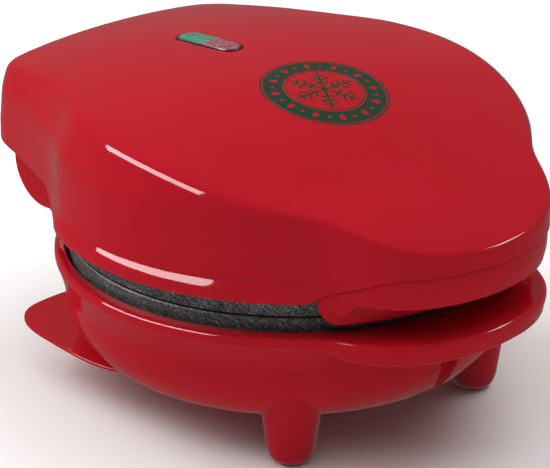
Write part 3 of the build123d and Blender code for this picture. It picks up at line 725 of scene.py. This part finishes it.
    # inner skin, back to the lower edge
    inner_d = dc + 3.4
    for t in np.linspace(1, 0, 12)[1:]:
        far = p + d * inner_d[:, None]
        xy = far * (1 - t) + window * t
        rows.append(np.concatenate([xy, (top_z(xy[:, 0], xy[:, 1]) - WALL)[:, None]], 1))
    inner_wall_top = np.minimum(BEVEL_Z - 0.4, zc - WALL - 1.0)
    z_in0 = np.minimum(zb + 2.0 + 4.0 * w * 0.5, inner_wall_top - 0.4)
    for t in (0.25, 0.5, 0.75, 1.0):
        dd = inner_d * (1 - t) + WALL * t
        zt = (top_z(*(p + d * inner_d[:, None]).T) - WALL) * (1 - t) + inner_wall_top * t
        rows.append(np.concatenate([p + d * dd[:, None], zt[:, None]], 1))
    for t in (0.25, 0.5, 0.75, 1.0):
        zt = inner_wall_top * (1 - t) + z_in0 * t
        rows.append(np.concatenate([p + d * WALL, zt[:, None]], 1))
    ledge = WALL + 2.1 * w
    rows.append(np.concatenate([p + d * (ledge * 0.98)[:, None], (z_in0 - 0.02)[:, None]], 1))
    rows.append(np.concatenate([p + d * ledge[:, None], (zb + 0.3)[:, None]], 1))
    rows.append(np.concatenate([p + d * (ledge - 0.25)[:, None], zb[:, None]], 1))
    o = grid_mesh("lid_shell", np.stack(rows), True, True)
    return outward(o), p, d


lid, lid_p, lid_d = build_lid()


def lid_half_width(y):
    """The lid wall's outer half width at this y on the tail side."""
    q = lid_p[(lid_p[:, 0] > 0) & (lid_p[:, 1] > 20)]
    q = q[np.argsort(q[:, 1])]
    return float(np.interp(y, q[:, 1], q[:, 0]))


extras = []
for s in (-1, 1):
    top = float(top_z(np.array([36.0]), np.array([HINGE_Y]))[0]) - 1.3
    outline = []
    for k in range(0, 37):
        a = math.pi + math.pi * k / 36
        outline.append((HINGE_Y + 12.3 * math.cos(a), HINGE_Z + 12.3 * math.sin(a)))
    slope_lo = float(top_z(np.array([36.0]), np.array([HINGE_Y + 12]))[0]) - 1.3
    slope_hi = float(top_z(np.array([36.0]), np.array([HINGE_Y - 12]))[0]) - 1.3
    outline += [(HINGE_Y + 12.3, slope_lo), (HINGE_Y - 12.3, slope_hi)]
    x0, x1 = sorted((s * 31.5, s * 36.0))
    ear = prism_yz("ear", outline, x0, x1, 0.4, 3)
    hole = turned_mesh("hole", [(0, -2), (2.58, -2), (2.58, 7), (0, 7)], (x0, HINGE_Y, HINGE_Z), 48, "x")
    boolean(ear, [hole], "DIFFERENCE")
    extras.append(ear)
    for y0, y1 in ((HINGE_Y - 9.5, HINGE_Y - 7.2), (HINGE_Y + 4.5, HINGE_Y + 6.8)):
        edge = lid_half_width((y0 + y1) / 2) - 1.1
        a0, a1 = sorted((s * 35.5, s * edge))
        extras.append(prism_yz("web", [(y0, 58.9), (y1, 58.9), (y1, 77.0), (y0, 77.0)], a0, a1, 0.3, 2))
boolean(lid, extras, "UNION")
tidy(lid)
lid.data.materials.clear()
lid.data.materials.append(RED)
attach(lid, "lid")
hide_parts("lid_housing")


# ------------------------------------------------------------------ grip piece
def build_grip():
    loop = Loop(LID_HALF)
    half = math.radians(36.2)
    n = 260
    edge = np.concatenate([np.linspace(0, 0.10, 28, endpoint=False), np.linspace(0.10, 0.90, n - 56, endpoint=False), np.linspace(0.90, 1, 28)])
    f = -half + 2 * half * edge
    ang = -math.pi / 2 + f
    ro = loop.radius_at(ang)
    x = ro * np.cos(ang)
    y = ro * np.sin(ang)
    zt = ledge_height(x, y) - 0.06
    zt = np.convolve(np.pad(zt, 3, mode="edge"), [0.05, 0.12, 0.2, 0.26, 0.2, 0.12, 0.05], mode="valid")
    arc = (half - np.abs(f)) * 65.6                 # distance from the nearer end, along the skirt
    rc = 6.6
    cut = np.where(arc < rc, rc - np.sqrt(np.maximum(0, rc * rc - (rc - arc)**2)), 0.0)
    zbot = 44.9 + cut
    zpan = 51.5
    depth = 1.35
    r_skirt = 65.6
    over = np.maximum(ro - depth - r_skirt, 0.0)   # how far the panel stands out beyond the skirt
    blend_ = smoothstep(0.0, 3.0, over)
    freed = smoothstep(0.8, 4.2, over)              # 0 where the panel runs down into the skirt
    rows = []

    def put(r, z):
        rows.append(np.stack([r * np.cos(ang), r * np.sin(ang), z], 1))

    panel_low = np.maximum(ro - depth, r_skirt)
    z_low = np.minimum(zpan * freed + (zbot + 2.3) * (1 - freed), zt - 1.2)
    top_r = ro - 0.6
    top_r = np.maximum(top_r, r_skirt + 0.0)
    put(top_r - 2.4, zt)
    put(top_r - 0.5, zt)
    put(top_r - 0.2, zt - 0.05)
    put(top_r - 0.05, zt - 0.2)
    put(top_r, zt - 0.5)
    for t in np.linspace(0.12, 1.0, 9):
        bulge = 0.35 * math.sin(math.pi * t)
        put(top_r * (1 - t) + panel_low * t + bulge * blend_, (zt - 0.5) * (1 - t) + (z_low + 0.9) * t)
    # round the panel's lower edge and run in under it, to the skirt
    for a in np.linspace(15, 90, 6):
        a = math.radians(a)
        rr = 0.9 * blend_
        put(panel_low - rr * (1 - math.cos(a)), z_low + 0.9 - 0.9 * math.sin(a) * blend_ - (1 - blend_) * 0.15 * (a / (math.pi / 2)))
    inner = r_skirt + 0.9 * blend_
    z_under = z_low + 0.9 - 0.9 * blend_ - 0.15 * (1 - blend_)
    put((panel_low - 0.9 * blend_) * 0.5 + inner * 0.5, z_under - 0.05)
    put(inner, z_under - 0.1)
    for a in np.linspace(18, 90, 5):
        a = math.radians(a)
        put(inner - 0.9 * blend_ * math.sin(a), z_under - 0.1 - 0.9 * (1 - math.cos(a)) * blend_ - (1 - blend_) * 0.1 * a)
    z0 = z_under - 0.1 - 0.9 * blend_ - (1 - blend_) * 0.157
    z1 = np.minimum(zbot + 0.9, z0 - 0.05)
    for t in np.linspace(0.15, 1.0, 7):
        put(np.full(len(ang), r_skirt), z0 * (1 - t) + z1 * t)
    room = np.minimum(0.9, (z1 - zbot))
    for a in np.linspace(22, 90, 4):
        a = math.radians(a)
        put(np.full(len(ang), r_skirt) - 0.9 * (1 - math.cos(a)), z1 - room * math.sin(a))
    put(np.full(len(ang), 63.9), z1 - room)
    put(np.full(len(ang), 63.45), z1 - room * 0.7)
    put(np.full(len(ang), 63.3), z1)
    top_in = np.minimum(54.6, zt - 0.3)
    for t in (0.33, 0.66, 1.0):
        put(np.full(len(ang), 63.3), z1 * (1 - t) + (top_in - 0.5) * t)
    put(np.maximum(ro - 4.9, 63.35), top_in)
    put(np.maximum(top_r - 2.5, 63.4), np.maximum(top_in + 0.02, zt - 0.25))
    rows = np.stack(rows)
    m, nn, _ = rows.shape
    # soften the two end faces a little
    for i, amount in ((0, 1.0), (1, 0.45), (2, 0.12), (nn - 1, 1.0), (nn - 2, 0.45), (nn - 3, 0.12)):
        mid = rows[:, i].mean(0)
        rows[:, i] = rows[:, i] + (mid - rows[:, i]) * 0.10 * amount
    o = grid_mesh("grip_shell", rows, False, True)
    bm = bmesh.new()
    bm.from_mesh(o.data)
    bm.verts.ensure_lookup_table()
    for i in (0, nn - 1):
        bm.faces.new([bm.verts[k * nn + i] for k in range(m)])
    bmesh.ops.recalc_face_normals(bm, faces=bm.faces)
    bm.to_mesh(o.data)
    bm.free()
    return o


grip = build_grip()
holes = []
for s in (-1, 1):
    holes.append(turned_mesh("hole", [(0, -4), (3.15, -4), (3.15, 2.2), (0, 2.2)], (s * 16.0, -67.5, 53.0), 40))
boolean(grip, holes, "DIFFERENCE")
tidy(grip)
grip.data.materials.clear()
grip.data.materials.append(RED)
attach(grip, "lid")
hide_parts("grip_lower")


# ------------------------------------------------------------------ base housing
def build_base():
    loop = Loop(BASE_HALF)
    fine = np.linspace(-9.0, 9.0, 91)
    coarse = np.linspace(9.0, 351.0, 560)[1:-1]
    f = np.radians(np.concatenate([fine, coarse]))
    ang = -math.pi / 2 + f
    rb = loop.radius_at(ang)
    n = len(ang)
    x_ref = 60.0 * np.sin(np.where(f > math.pi, f - 2 * math.pi, f))
    fw = np.where(f > math.pi, f - 2 * math.pi, f)
    straight = 1 - smoothstep(math.radians(7.0), math.radians(9.0), np.abs(fw))
    inside = (1 - smoothstep(4.55, 4.95, np.abs(x_ref))) * (np.abs(fw) < 1.0)
    rows = []

    def put(r, z):
        r = np.broadcast_to(np.asarray(r, float), (n,))
        z = np.broadcast_to(np.asarray(z, float), (n,))
        xp, yp = r * np.cos(ang), r * np.sin(ang)
        xs = x_ref
        ys = -np.sqrt(np.maximum(r * r - xs * xs, 1.0))
        x = xp * (1 - straight) + xs * straight
        y = yp * (1 - straight) + ys * straight
        rows.append(np.stack([x, y, z], 1))

    def rim(inset, z):
        put(rb - inset, z)

    # at the nose the flange is a free-standing band; round the sides it runs flush into the bowl
    band = smoothstep(66.0, 69.5, rb)

    def mixed(nose_r, nose_z, side_r, side_z):
        put(nose_r * band + side_r * (1 - band), nose_z * band + side_z * (1 - band))

    pc = np.array(BOWL, float)
    kn = np.concatenate([[0], np.cumsum(np.linalg.norm(np.diff(pc, axis=0), axis=1))])
    mm = second_derivatives(kn, pc, False)
    dense, _ = spline_at(kn, pc, mm, np.linspace(0, kn[-1], 400))

    def flare(z):
        """The side's outer radius between the bowl proper and the flange's edge."""
        u = np.clip((z - 30.0) / 9.0, 0, 1)
        low = float(np.interp(z, dense[:, 1], dense[:, 0]))
        return low * (1 - u**1.5) + (np.minimum(rb, 65.6) - 0.3) * u**1.5

    # top of the flange, from its inner edge outwards
    put(61.3, 41.0)
    put(61.3, 41.75)
    put(61.38, 41.93)
    put(61.6, 42.0)
    for t in (0.3, 0.6, 0.85):
        put(61.6 * (1 - t) + (rb - 1.5) * t, 42.0)
    for a in np.linspace(0, 90, 9):
        a = math.radians(a)
        rim(1.4 * (1 - math.sin(a)), 42.0 - 1.4 * (1 - math.cos(a)))
    rim(0.0, 40.2)
    mixed(rb - 0.08, 39.5, rb, 39.75)
    mixed(rb - 0.24, 38.8, rb - 0.03, 39.45)
    mixed(rb - 0.48, 37.9, rb - 0.26, 39.15)
    for k, a in enumerate(np.linspace(20, 90, 5)):
        a = math.radians(a)
        zs = 38.9 - 0.22 * k
        mixed(rb - 0.62 - 0.9 * (1 - math.cos(a)), 37.0 - 0.9 * math.sin(a), flare(zs), zs)
    mixed(rb - 1.9, 36.1, flare(37.8), 37.8)
    mixed(rb - 2.2, 36.25, flare(37.65), 37.65)
    mixed(rb - 2.3, 36.7, flare(37.5), 37.5)
    mixed(np.maximum(rb - 2.35, 62.6), 39.2, flare(37.35), 37.35)
    mixed(np.maximum(rb - 2.6, 62.5), 39.6, flare(37.2), 37.2)
    mixed(62.3, 39.6, flare(37.05), 37.05)
    mixed(62.0, 39.0, flare(36.9), 36.9)
    # bowl wall, with the notch at the front
    zz = np.concatenate([np.linspace(36.6, 34.4, 4), [34.0, 33.5, 33.0, 32.85, 32.6], np.linspace(32.2, 16.4, 26), [15.6, 15.0, 14.5, 14.1, 13.8, 13.6, 13.45]])
    notch_z = np.array([12.0, 14.4, 16.4, 20.5, 26.0, 36.0])
    notch_r = np.array([51.9, 52.6, 54.3, 56.4, 57.6, 57.8])
    for z in zz:
        r = float(np.interp(z, dense[:, 1], dense[:, 0])) * band + flare(z) * (1 - band)
        depth = float(1 - smoothstep(32.8, 33.1, z))
        nr = float(np.interp(z, notch_z, notch_r))
        k = inside * depth
        put(r * (1 - k) + np.minimum(nr, r) * k, z)
    for r, z in ((50.2, 13.3), (48.5, 13.22), (46.5, 13.2), (44.0, 13.2), (41.2, 13.2)):
        put(r, z)
    put(40.6, 13.25)
    put(40.1, 13.5)
    put(40.0, 14.0)
    put(40.0, 15.4)
    put(40.3, 15.6)
    for r, z in ((46.6, 15.6), (49.0, 15.8), (50.0, 16.2), (50.9, 16.9), (52.6, 18.4), (53.9, 20.6), (54.9, 23.3), (55.3, 26.6), (55.4, 30.5), (55.6, 34.0), (58.6, 37.0), (60.4, 38.0), (60.85, 38.6)):
        put(r, z)
    o = grid_mesh("base_shell", np.stack(rows), True, True)
    return outward(o)


base = build_base()


def smooth_loop(points, n):
    p = np.array(points, float)
    kn = np.concatenate([[0], np.cumsum(np.linalg.norm(np.roll(p, -1, 0) - p, axis=1))])
    m = second_derivatives(kn, p, True)
    t = np.linspace(0, kn[-1], n, endpoint=False)
    return spline_at(kn, p, m, t, True)[0]


def build_wing():
    half = [(0, 5.0), (30, 5.0), (46, 7.0), (52.8, 9.9), (54.9, 15.4), (55.6, 22.0), (55.4, 30.2), (54.9, 38.0),
            (53.9, 46.0), (51.4, 52.4), (46.6, 57.0), (40.5, 58.6), (25, 58.8), (0, 58.8)]
    pts = both_sides(half)
    ring = smooth_loop(pts, 420)
    nxt, prv = np.roll(ring, -1, 0), np.roll(ring, 1, 0)
    t = nxt - prv
    t /= np.linalg.norm(t, axis=1)[:, None]
    nrm = -np.stack([t[:, 1], -t[:, 0]], 1)
    rows = []

    def put(inset, z):
        xy = ring + nrm * inset
        rows.append(np.concatenate([xy, np.broadcast_to(z, (len(ring),))[:, None]], 1))

    centre = np.array([0.0, 32.0])
    crisp = 0.3
    # the edge is undercut: a short upright face, then a slope in to the underside
    for inset, z in ((3.2, 13.2), (2.6, 13.22), (2.2, 13.3), (1.8, 13.47), (1.1, 13.83), (0.45, 14.17), (0.2, 14.32), (0.05, 14.45), (0.0, 14.6)):
        put(inset, z)
    for a in np.linspace(0, 90, 6):
        a = math.radians(a)
        put(crisp * (1 - math.cos(a)), 15.2 - crisp + crisp * math.sin(a))
    rows = [np.asarray(q) for q in rows]
    # inner rings on the upper face rise into a fillet against the bowl
    base_ring = rows[-1]
    for t_ in np.linspace(0, 1, 30)[1:]:
        xy = base_ring[:, :2] * (1 - t_) + (centre + (base_ring[:, :2] - centre) * 0.35) * t_
        rad = np.hypot(xy[:, 0], xy[:, 1])
        gap = np.clip((55.4 - rad) / 2.0, 0, 1)
        lift = 0.9 * (1 - np.sqrt(np.maximum(0, 1 - gap**2)))
        rows.append(np.concatenate([xy, (15.2 + lift)[:, None]], 1))
    xy = centre + (rows[-1][:, :2] - centre)
    rows.append(np.concatenate([xy, np.full((len(ring), 1), 13.2)], 1))
    rows = np.stack(rows)
    o = grid_mesh("wing", rows, True, True)
    return outward(o)


wing = build_wing()
feet = []
inner_space = [(0, 16.4), (49.5, 16.4), (51.0, 16.9), (52.4, 17.7), (54.0, 19.2), (55.3, 21.2), (56.2, 24.0), (56.2, 40), (0, 40)]
for fx, fy, top in ((33.9, -37.9, 22.9), (26.0, 45.0, 14.6)):
    for s in (-1, 1):
        slope = (8.15 - 5.9) / 15.5
        prof = [(0, 0.5), (1.2, 0.5), (3.2, 0.5)]
        for a in np.linspace(0, 84, 9):
            a = math.radians(a)
            prof.append((5.9 - 2.6 + 2.6 * math.sin(a) + 0.1, 0.5 + 2.6 - 2.6 * math.cos(a)))
        for z in np.linspace(4.0, top, 7):
            prof.append((5.9 + slope * (z - 0.5), z))
        prof.append((0, top))
        foot = turned_mesh("foot", prof, (s * fx, fy, 0.0), 72)
        if fy < 0:
            # the front feet run up into the bowl's side, but not into its inside
            boolean(foot, [turned_mesh("hole", inner_space, (0, 0, 0), 128)], "DIFFERENCE")
        feet.append(foot)
posts = []
for s in (-1, 1):
    x0, x1 = sorted((s * 24.0, s * 31.2))
    outline = [(52.0, 28.4), (68.9, 39.9), (68.9, 53.4)]
    for k in range(1, 24):
        a = math.pi * k / 24
        outline.append((62.4 + 6.5 * math.cos(a), 53.4 + 6.5 * math.sin(a)))
    outline += [(55.9, 53.4), (55.9, 42.4), (55.9, 41.4), (52.0, 41.4)]
    post = prism_yz("post", outline, x0, x1, 0.6, 3)
    posts.append(post)
bar = []
for k in range(0, 33):
    a = math.radians(66.5 + 47 * k / 32)
    bar.append((61.4 * math.cos(a), 61.4 * math.sin(a)))
bar = [(x, y) for x, y in bar if abs(x) <= 24.6]
bar += [(-24.6, 66.4), (24.6, 66.4)]
wall = prism_xy("wall", bar, 37.6, 46.5, 0.6, 3)
boolean(base, [wing] + feet + posts + [wall], "UNION")
cuts = [turned_mesh("hole", [(0, -6), (4.6, -6), (4.6, 14), (0, 14)], (0, 54.0, 25.5), 48, "y")]
for fx, fy in ((33.9, -37.9), (26.0, 45.0)):
    for s in (-1, 1):
        cuts.append(turned_mesh("hole", [(0, -1), (3.3, -1), (3.3, 1.62), (0, 1.62)], (s * fx, fy, 0.0), 40))
for s in (-1, 1):
    x0 = min(s * 23.0, s * 32.2)
    cuts.append(turned_mesh("hole", [(0, 0), (2.5, 0), (2.5, 9.2), (0, 9.2)], (x0, HINGE_Y, HINGE_Z), 48, "x"))
boolean(base, cuts, "DIFFERENCE")
tidy(base)
base.data.materials.clear()
base.data.materials.append(RED)
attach(base, "base")
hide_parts("base_housing")


# ------------------------------------------------------------------ lamp windows
def build_window(name, sign):
    """Half of the capsule-shaped window: it stands proud of the lid, with a rounded upper edge."""
    length, width, lift = LAMP_L - 1.7, LAMP_W - 1.7, 0.44
    r_ = width / 2
    half = length / 2 - r_
    pts = [(-r_, 0.06), (-r_, half * 0.33), (-r_, half * 0.66)]
    pts += [(r_ * math.cos(a), half + r_ * math.sin(a)) for a in np.linspace(math.pi, 0, 25)]
    pts += [(r_, half * 0.66), (r_, half * 0.33), (r_, 0.06), (r_ * 0.5, 0.06), (0.0, 0.06), (-r_ * 0.5, 0.06)]
    ring = np.array(pts)
    mid = np.array([0.0, (half + r_) * 0.45])
    to_mid = mid - ring
    reach = np.linalg.norm(to_mid, axis=1)
    inward = to_mid / reach[:, None]
    rows = []

    def put(inset, drop):
        q = ring + inward * np.minimum(inset, reach * 0.95)[:, None]
        xy = np.stack([q[:, 0], LAMP_Y + sign * q[:, 1]], 1)
        z = top_z(xy[:, 0], xy[:, 1]) + lift - drop if drop is not None else np.full(len(xy), 83.65)
        rows.append(np.concatenate([xy, z[:, None]], 1))

    put(0.3, None)
    put(0.0, 3.0)
    for drop in (1.6, 0.8, 0.45):
        put(0.0, drop)
    for a in np.linspace(18, 90, 5):
        a = math.radians(a)
        put(0.42 * (1 - math.cos(a)), 0.42 * (1 - math.sin(a)) + 0.01)
    for k in (0.15, 0.35, 0.6, 0.8, 0.93):
        put(reach * k + 0.42 * (1 - k), 0.0)
    o = grid_mesh(name, np.stack(rows), True, False, True)
    return outward(o)


for name, sign, stands_for, mat in (("green_window", 1, "lens_green", GREEN), ("red_window", -1, "lens_red", PINK)):
    window = tidy(build_window(name, sign), 40.0)
    window.data.materials.append(mat)
    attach(window, "lid")
    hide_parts(stands_for)


# ------------------------------------------------------------------ printed badge
BADGE = (0.4, -12.9)
BADGE_GREEN = plastic("badge_green", (0.010, 0.045, 0.022), 0.28, 1600.0, 0.10, 0.25)


def on_lid(pts, lift):
    p = np.array(pts, float) + np.array(BADGE)
    return np.concatenate([p, (top_z(p[:, 0], p[:, 1]) + lift)[:, None]], 1)


def inked(shapes, lift=0.045, thick=0.09):
    """A thin printed film of closed shapes; each shape is a list of quads or polygons, in mm from the badge's middle."""
    bm = bmesh.new()

    def key(q):
        return (round(q[0], 3), round(q[1], 3))

    shared = {}
    for poly in shapes:
        for i, a in enumerate(poly):
            side = frozenset((key(a), key(poly[(i + 1) % len(poly)])))
            shared[side] = shared.get(side, 0) + 1
    upper, lower = {}, {}

    def corner(store, q, height):
        if key(q) not in store:
            store[key(q)] = bm.verts.new(to_m(on_lid([q], height))[0])
        return store[key(q)]

    for poly in shapes:
        hi = [corner(upper, q, lift) for q in poly]
        lo = [corner(lower, q, lift - thick) for q in poly]
        bm.faces.new(hi)
        bm.faces.new(list(reversed(lo)))
        k = len(hi)
        for i in range(k):
            # neighbours share a side, which gets no wall
            if shared[frozenset((key(poly[i]), key(poly[(i + 1) % k])))] == 1:
                bm.faces.new((lo[i], lo[(i + 1) % k], hi[(i + 1) % k], hi[i]))
    bmesh.ops.recalc_face_normals(bm, faces=bm.faces)
    me = bpy.data.meshes.new("lid_badge")
    bm.to_mesh(me)
    bm.free()
    o = bpy.data.objects.new("lid_badge", me)
    scene.collection.objects.link(o)
    return o


def polar(r, a):
    return (r * math.cos(a), r * math.sin(a))


def badge_shapes():
    shapes = []
    n = 192

    def ring(r0, r1, steps=1):
        for i in range(n):
            a0, a1 = 2 * math.pi * i / n, 2 * math.pi * (i + 1) / n
            for k in range(steps):
                q0 = r0 + (r1 - r0) * k / steps
                q1 = r0 + (r1 - r0) * (k + 1) / steps
                shapes.append([polar(q0, a0), polar(q1, a0), polar(q1, a1), polar(q0, a1)])

    ring(16.85, 17.35)
    # dark band with a chain of diamonds and dots left open in it
    r0, r1 = 11.2, 16.45
    mid = (r0 + r1) / 2
    cells = 24
    for c in range(cells):
        a_mid = 2 * math.pi * (c + 0.5) / cells
        half = math.pi / cells
        k = 16
        if c % 2 == 0:
            inner = []
            for i in range(k):
                t = 2 * math.pi * i / k
                m = 1.0 / (abs(math.cos(t)) + abs(math.sin(t)))
                inner.append((1.55 * m * math.cos(t), 1.05 * m * math.sin(t)))
        else:
            inner = [(0.52 * math.cos(2 * math.pi * i / k), 0.52 * math.sin(2 * math.pi * i / k)) for i in range(k)]
        outer = []
        for i in range(k):
            t = 2 * math.pi * i / k
            ct, st = math.cos(t), math.sin(t)
            m = 1.0 / max(abs(ct), abs(st))
            outer.append((ct * m, st * m))
        pin = [polar(mid + q[0], a_mid + q[1] / mid) for q in inner]
        pout = [polar(mid + q[0] * (r1 - r0) / 2, a_mid + q[1] * half) for q in outer]
        for i in range(k):
            j = (i + 1) % k
            shapes.append([pin[i], pout[i], pout[j], pin[j]])
    # thin inner circle and a six-armed snow crystal
    ring(10.35, 10.7)

    def bar(a, r_from, r_to, half_w, off=0.0, lean=0.0, origin=(0.0, 0.0)):
        ca, sa = math.cos(a + lean), math.sin(a + lean)
        ox, oy = origin
        q = []
        for r, w in ((r_from, -half_w), (r_to, -half_w * 0.8), (r_to, half_w * 0.8), (r_from, half_w)):
            q.append((ox + r * ca - w * sa, oy + r * sa + w * ca))
        shapes.append(q)

    hexa = [polar(1.25, math.pi / 6 + math.pi / 3 * i) for i in range(6)]
    for i in range(6):
        shapes.append([(0.0, 0.0), hexa[i], hexa[(i + 1) % 6]])
    for i in range(6):
        a = math.pi / 3 * i
        bar(a, 1.55, 8.9, 0.42)
        for r, length in ((3.3, 1.9), (5.3, 2.7), (7.3, 1.6)):
            for side in (-1, 1):
                o = (polar(r, a)[0] - side * 0.34 * math.sin(a), polar(r, a)[1] + side * 0.34 * math.cos(a))
                bar(a, 0.25, length, 0.34, lean=side * math.pi / 3.2, origin=o)
        tip = polar(9.45, a)
        shapes.append([(tip[0] + 0.42 * math.cos(t), tip[1] + 0.42 * math.sin(t)) for t in [2 * math.pi * k / 12 for k in range(12)]])
    return shapes


badge = inked(badge_shapes())
badge.data.materials.append(BADGE_GREEN)
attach(badge, "lid")

# ------------------------------------------------------------------ stage and light
me = bpy.data.meshes.new("floor")
me.from_pydata([(-6, -6, -0.0002), (6, -6, -0.0002), (6, 6, -0.0002), (-6, 6, -0.0002)], [], [(0, 1, 2, 3)])
floor = bpy.data.objects.new("floor", me)
scene.collection.objects.link(floor)
mat, nt, p = new_material("floor")
p.inputs["Base Color"].default_value = (0.93, 0.93, 0.93, 1)
p.inputs["Roughness"].default_value = 0.9
p.inputs["Specular IOR Level"].default_value = 0.1
floor.data.materials.append(mat)
floor.visible_glossy = False

world = bpy.data.worlds.new("world")
scene.world = world
world.use_nodes = True
bg = world.node_tree.nodes["Background"]
bg.inputs[0].default_value = (1.0, 1.0, 1.0, 1)
bg.inputs[1].default_value = 0.16


def area(name, az, el, dist, size, level, roll=0.0, soft=True, shine=False):
    """A softbox aimed at the object. level is the brightness that it gives a white card facing it."""
    data = bpy.data.lights.new(name, "AREA")
    data.shape = "RECTANGLE"
    data.size, data.size_y = size
    data.energy = level * math.pi**2 * dist**2
    o = bpy.data.objects.new(name, data)
    scene.collection.objects.link(o)
    a, e = math.radians(az), math.radians(el)
    back = Vector((math.sin(a) * math.cos(e), -math.cos(a) * math.cos(e), math.sin(e)))
    o.location = Vector((0, 0, 0.05)) + back * dist
    o.rotation_mode = "QUATERNION"
    o.rotation_quaternion = (-back).to_track_quat("-Z", "Y")
    o.rotation_quaternion = o.rotation_quaternion @ Matrix.Rotation(math.radians(roll), 4, "Z").to_quaternion()
    o.visible_diffuse = soft
    o.visible_glossy = shine
    return o


area("left", -146, 36, 2.0, (1.6, 1.2), 0.76)
area("right", 78, 60, 2.0, (1.8, 1.4), 0.30)
area("above", -60, 84, 2.0, (3.0, 3.0), 0.82)
area("left_window", -118, 38, 2.0, (2.0, 0.72), 1.85, roll=16, soft=False, shine=True)
area("right_window", 62, 40, 2.0, (0.55, 0.35), 0.2, soft=False, shine=True)
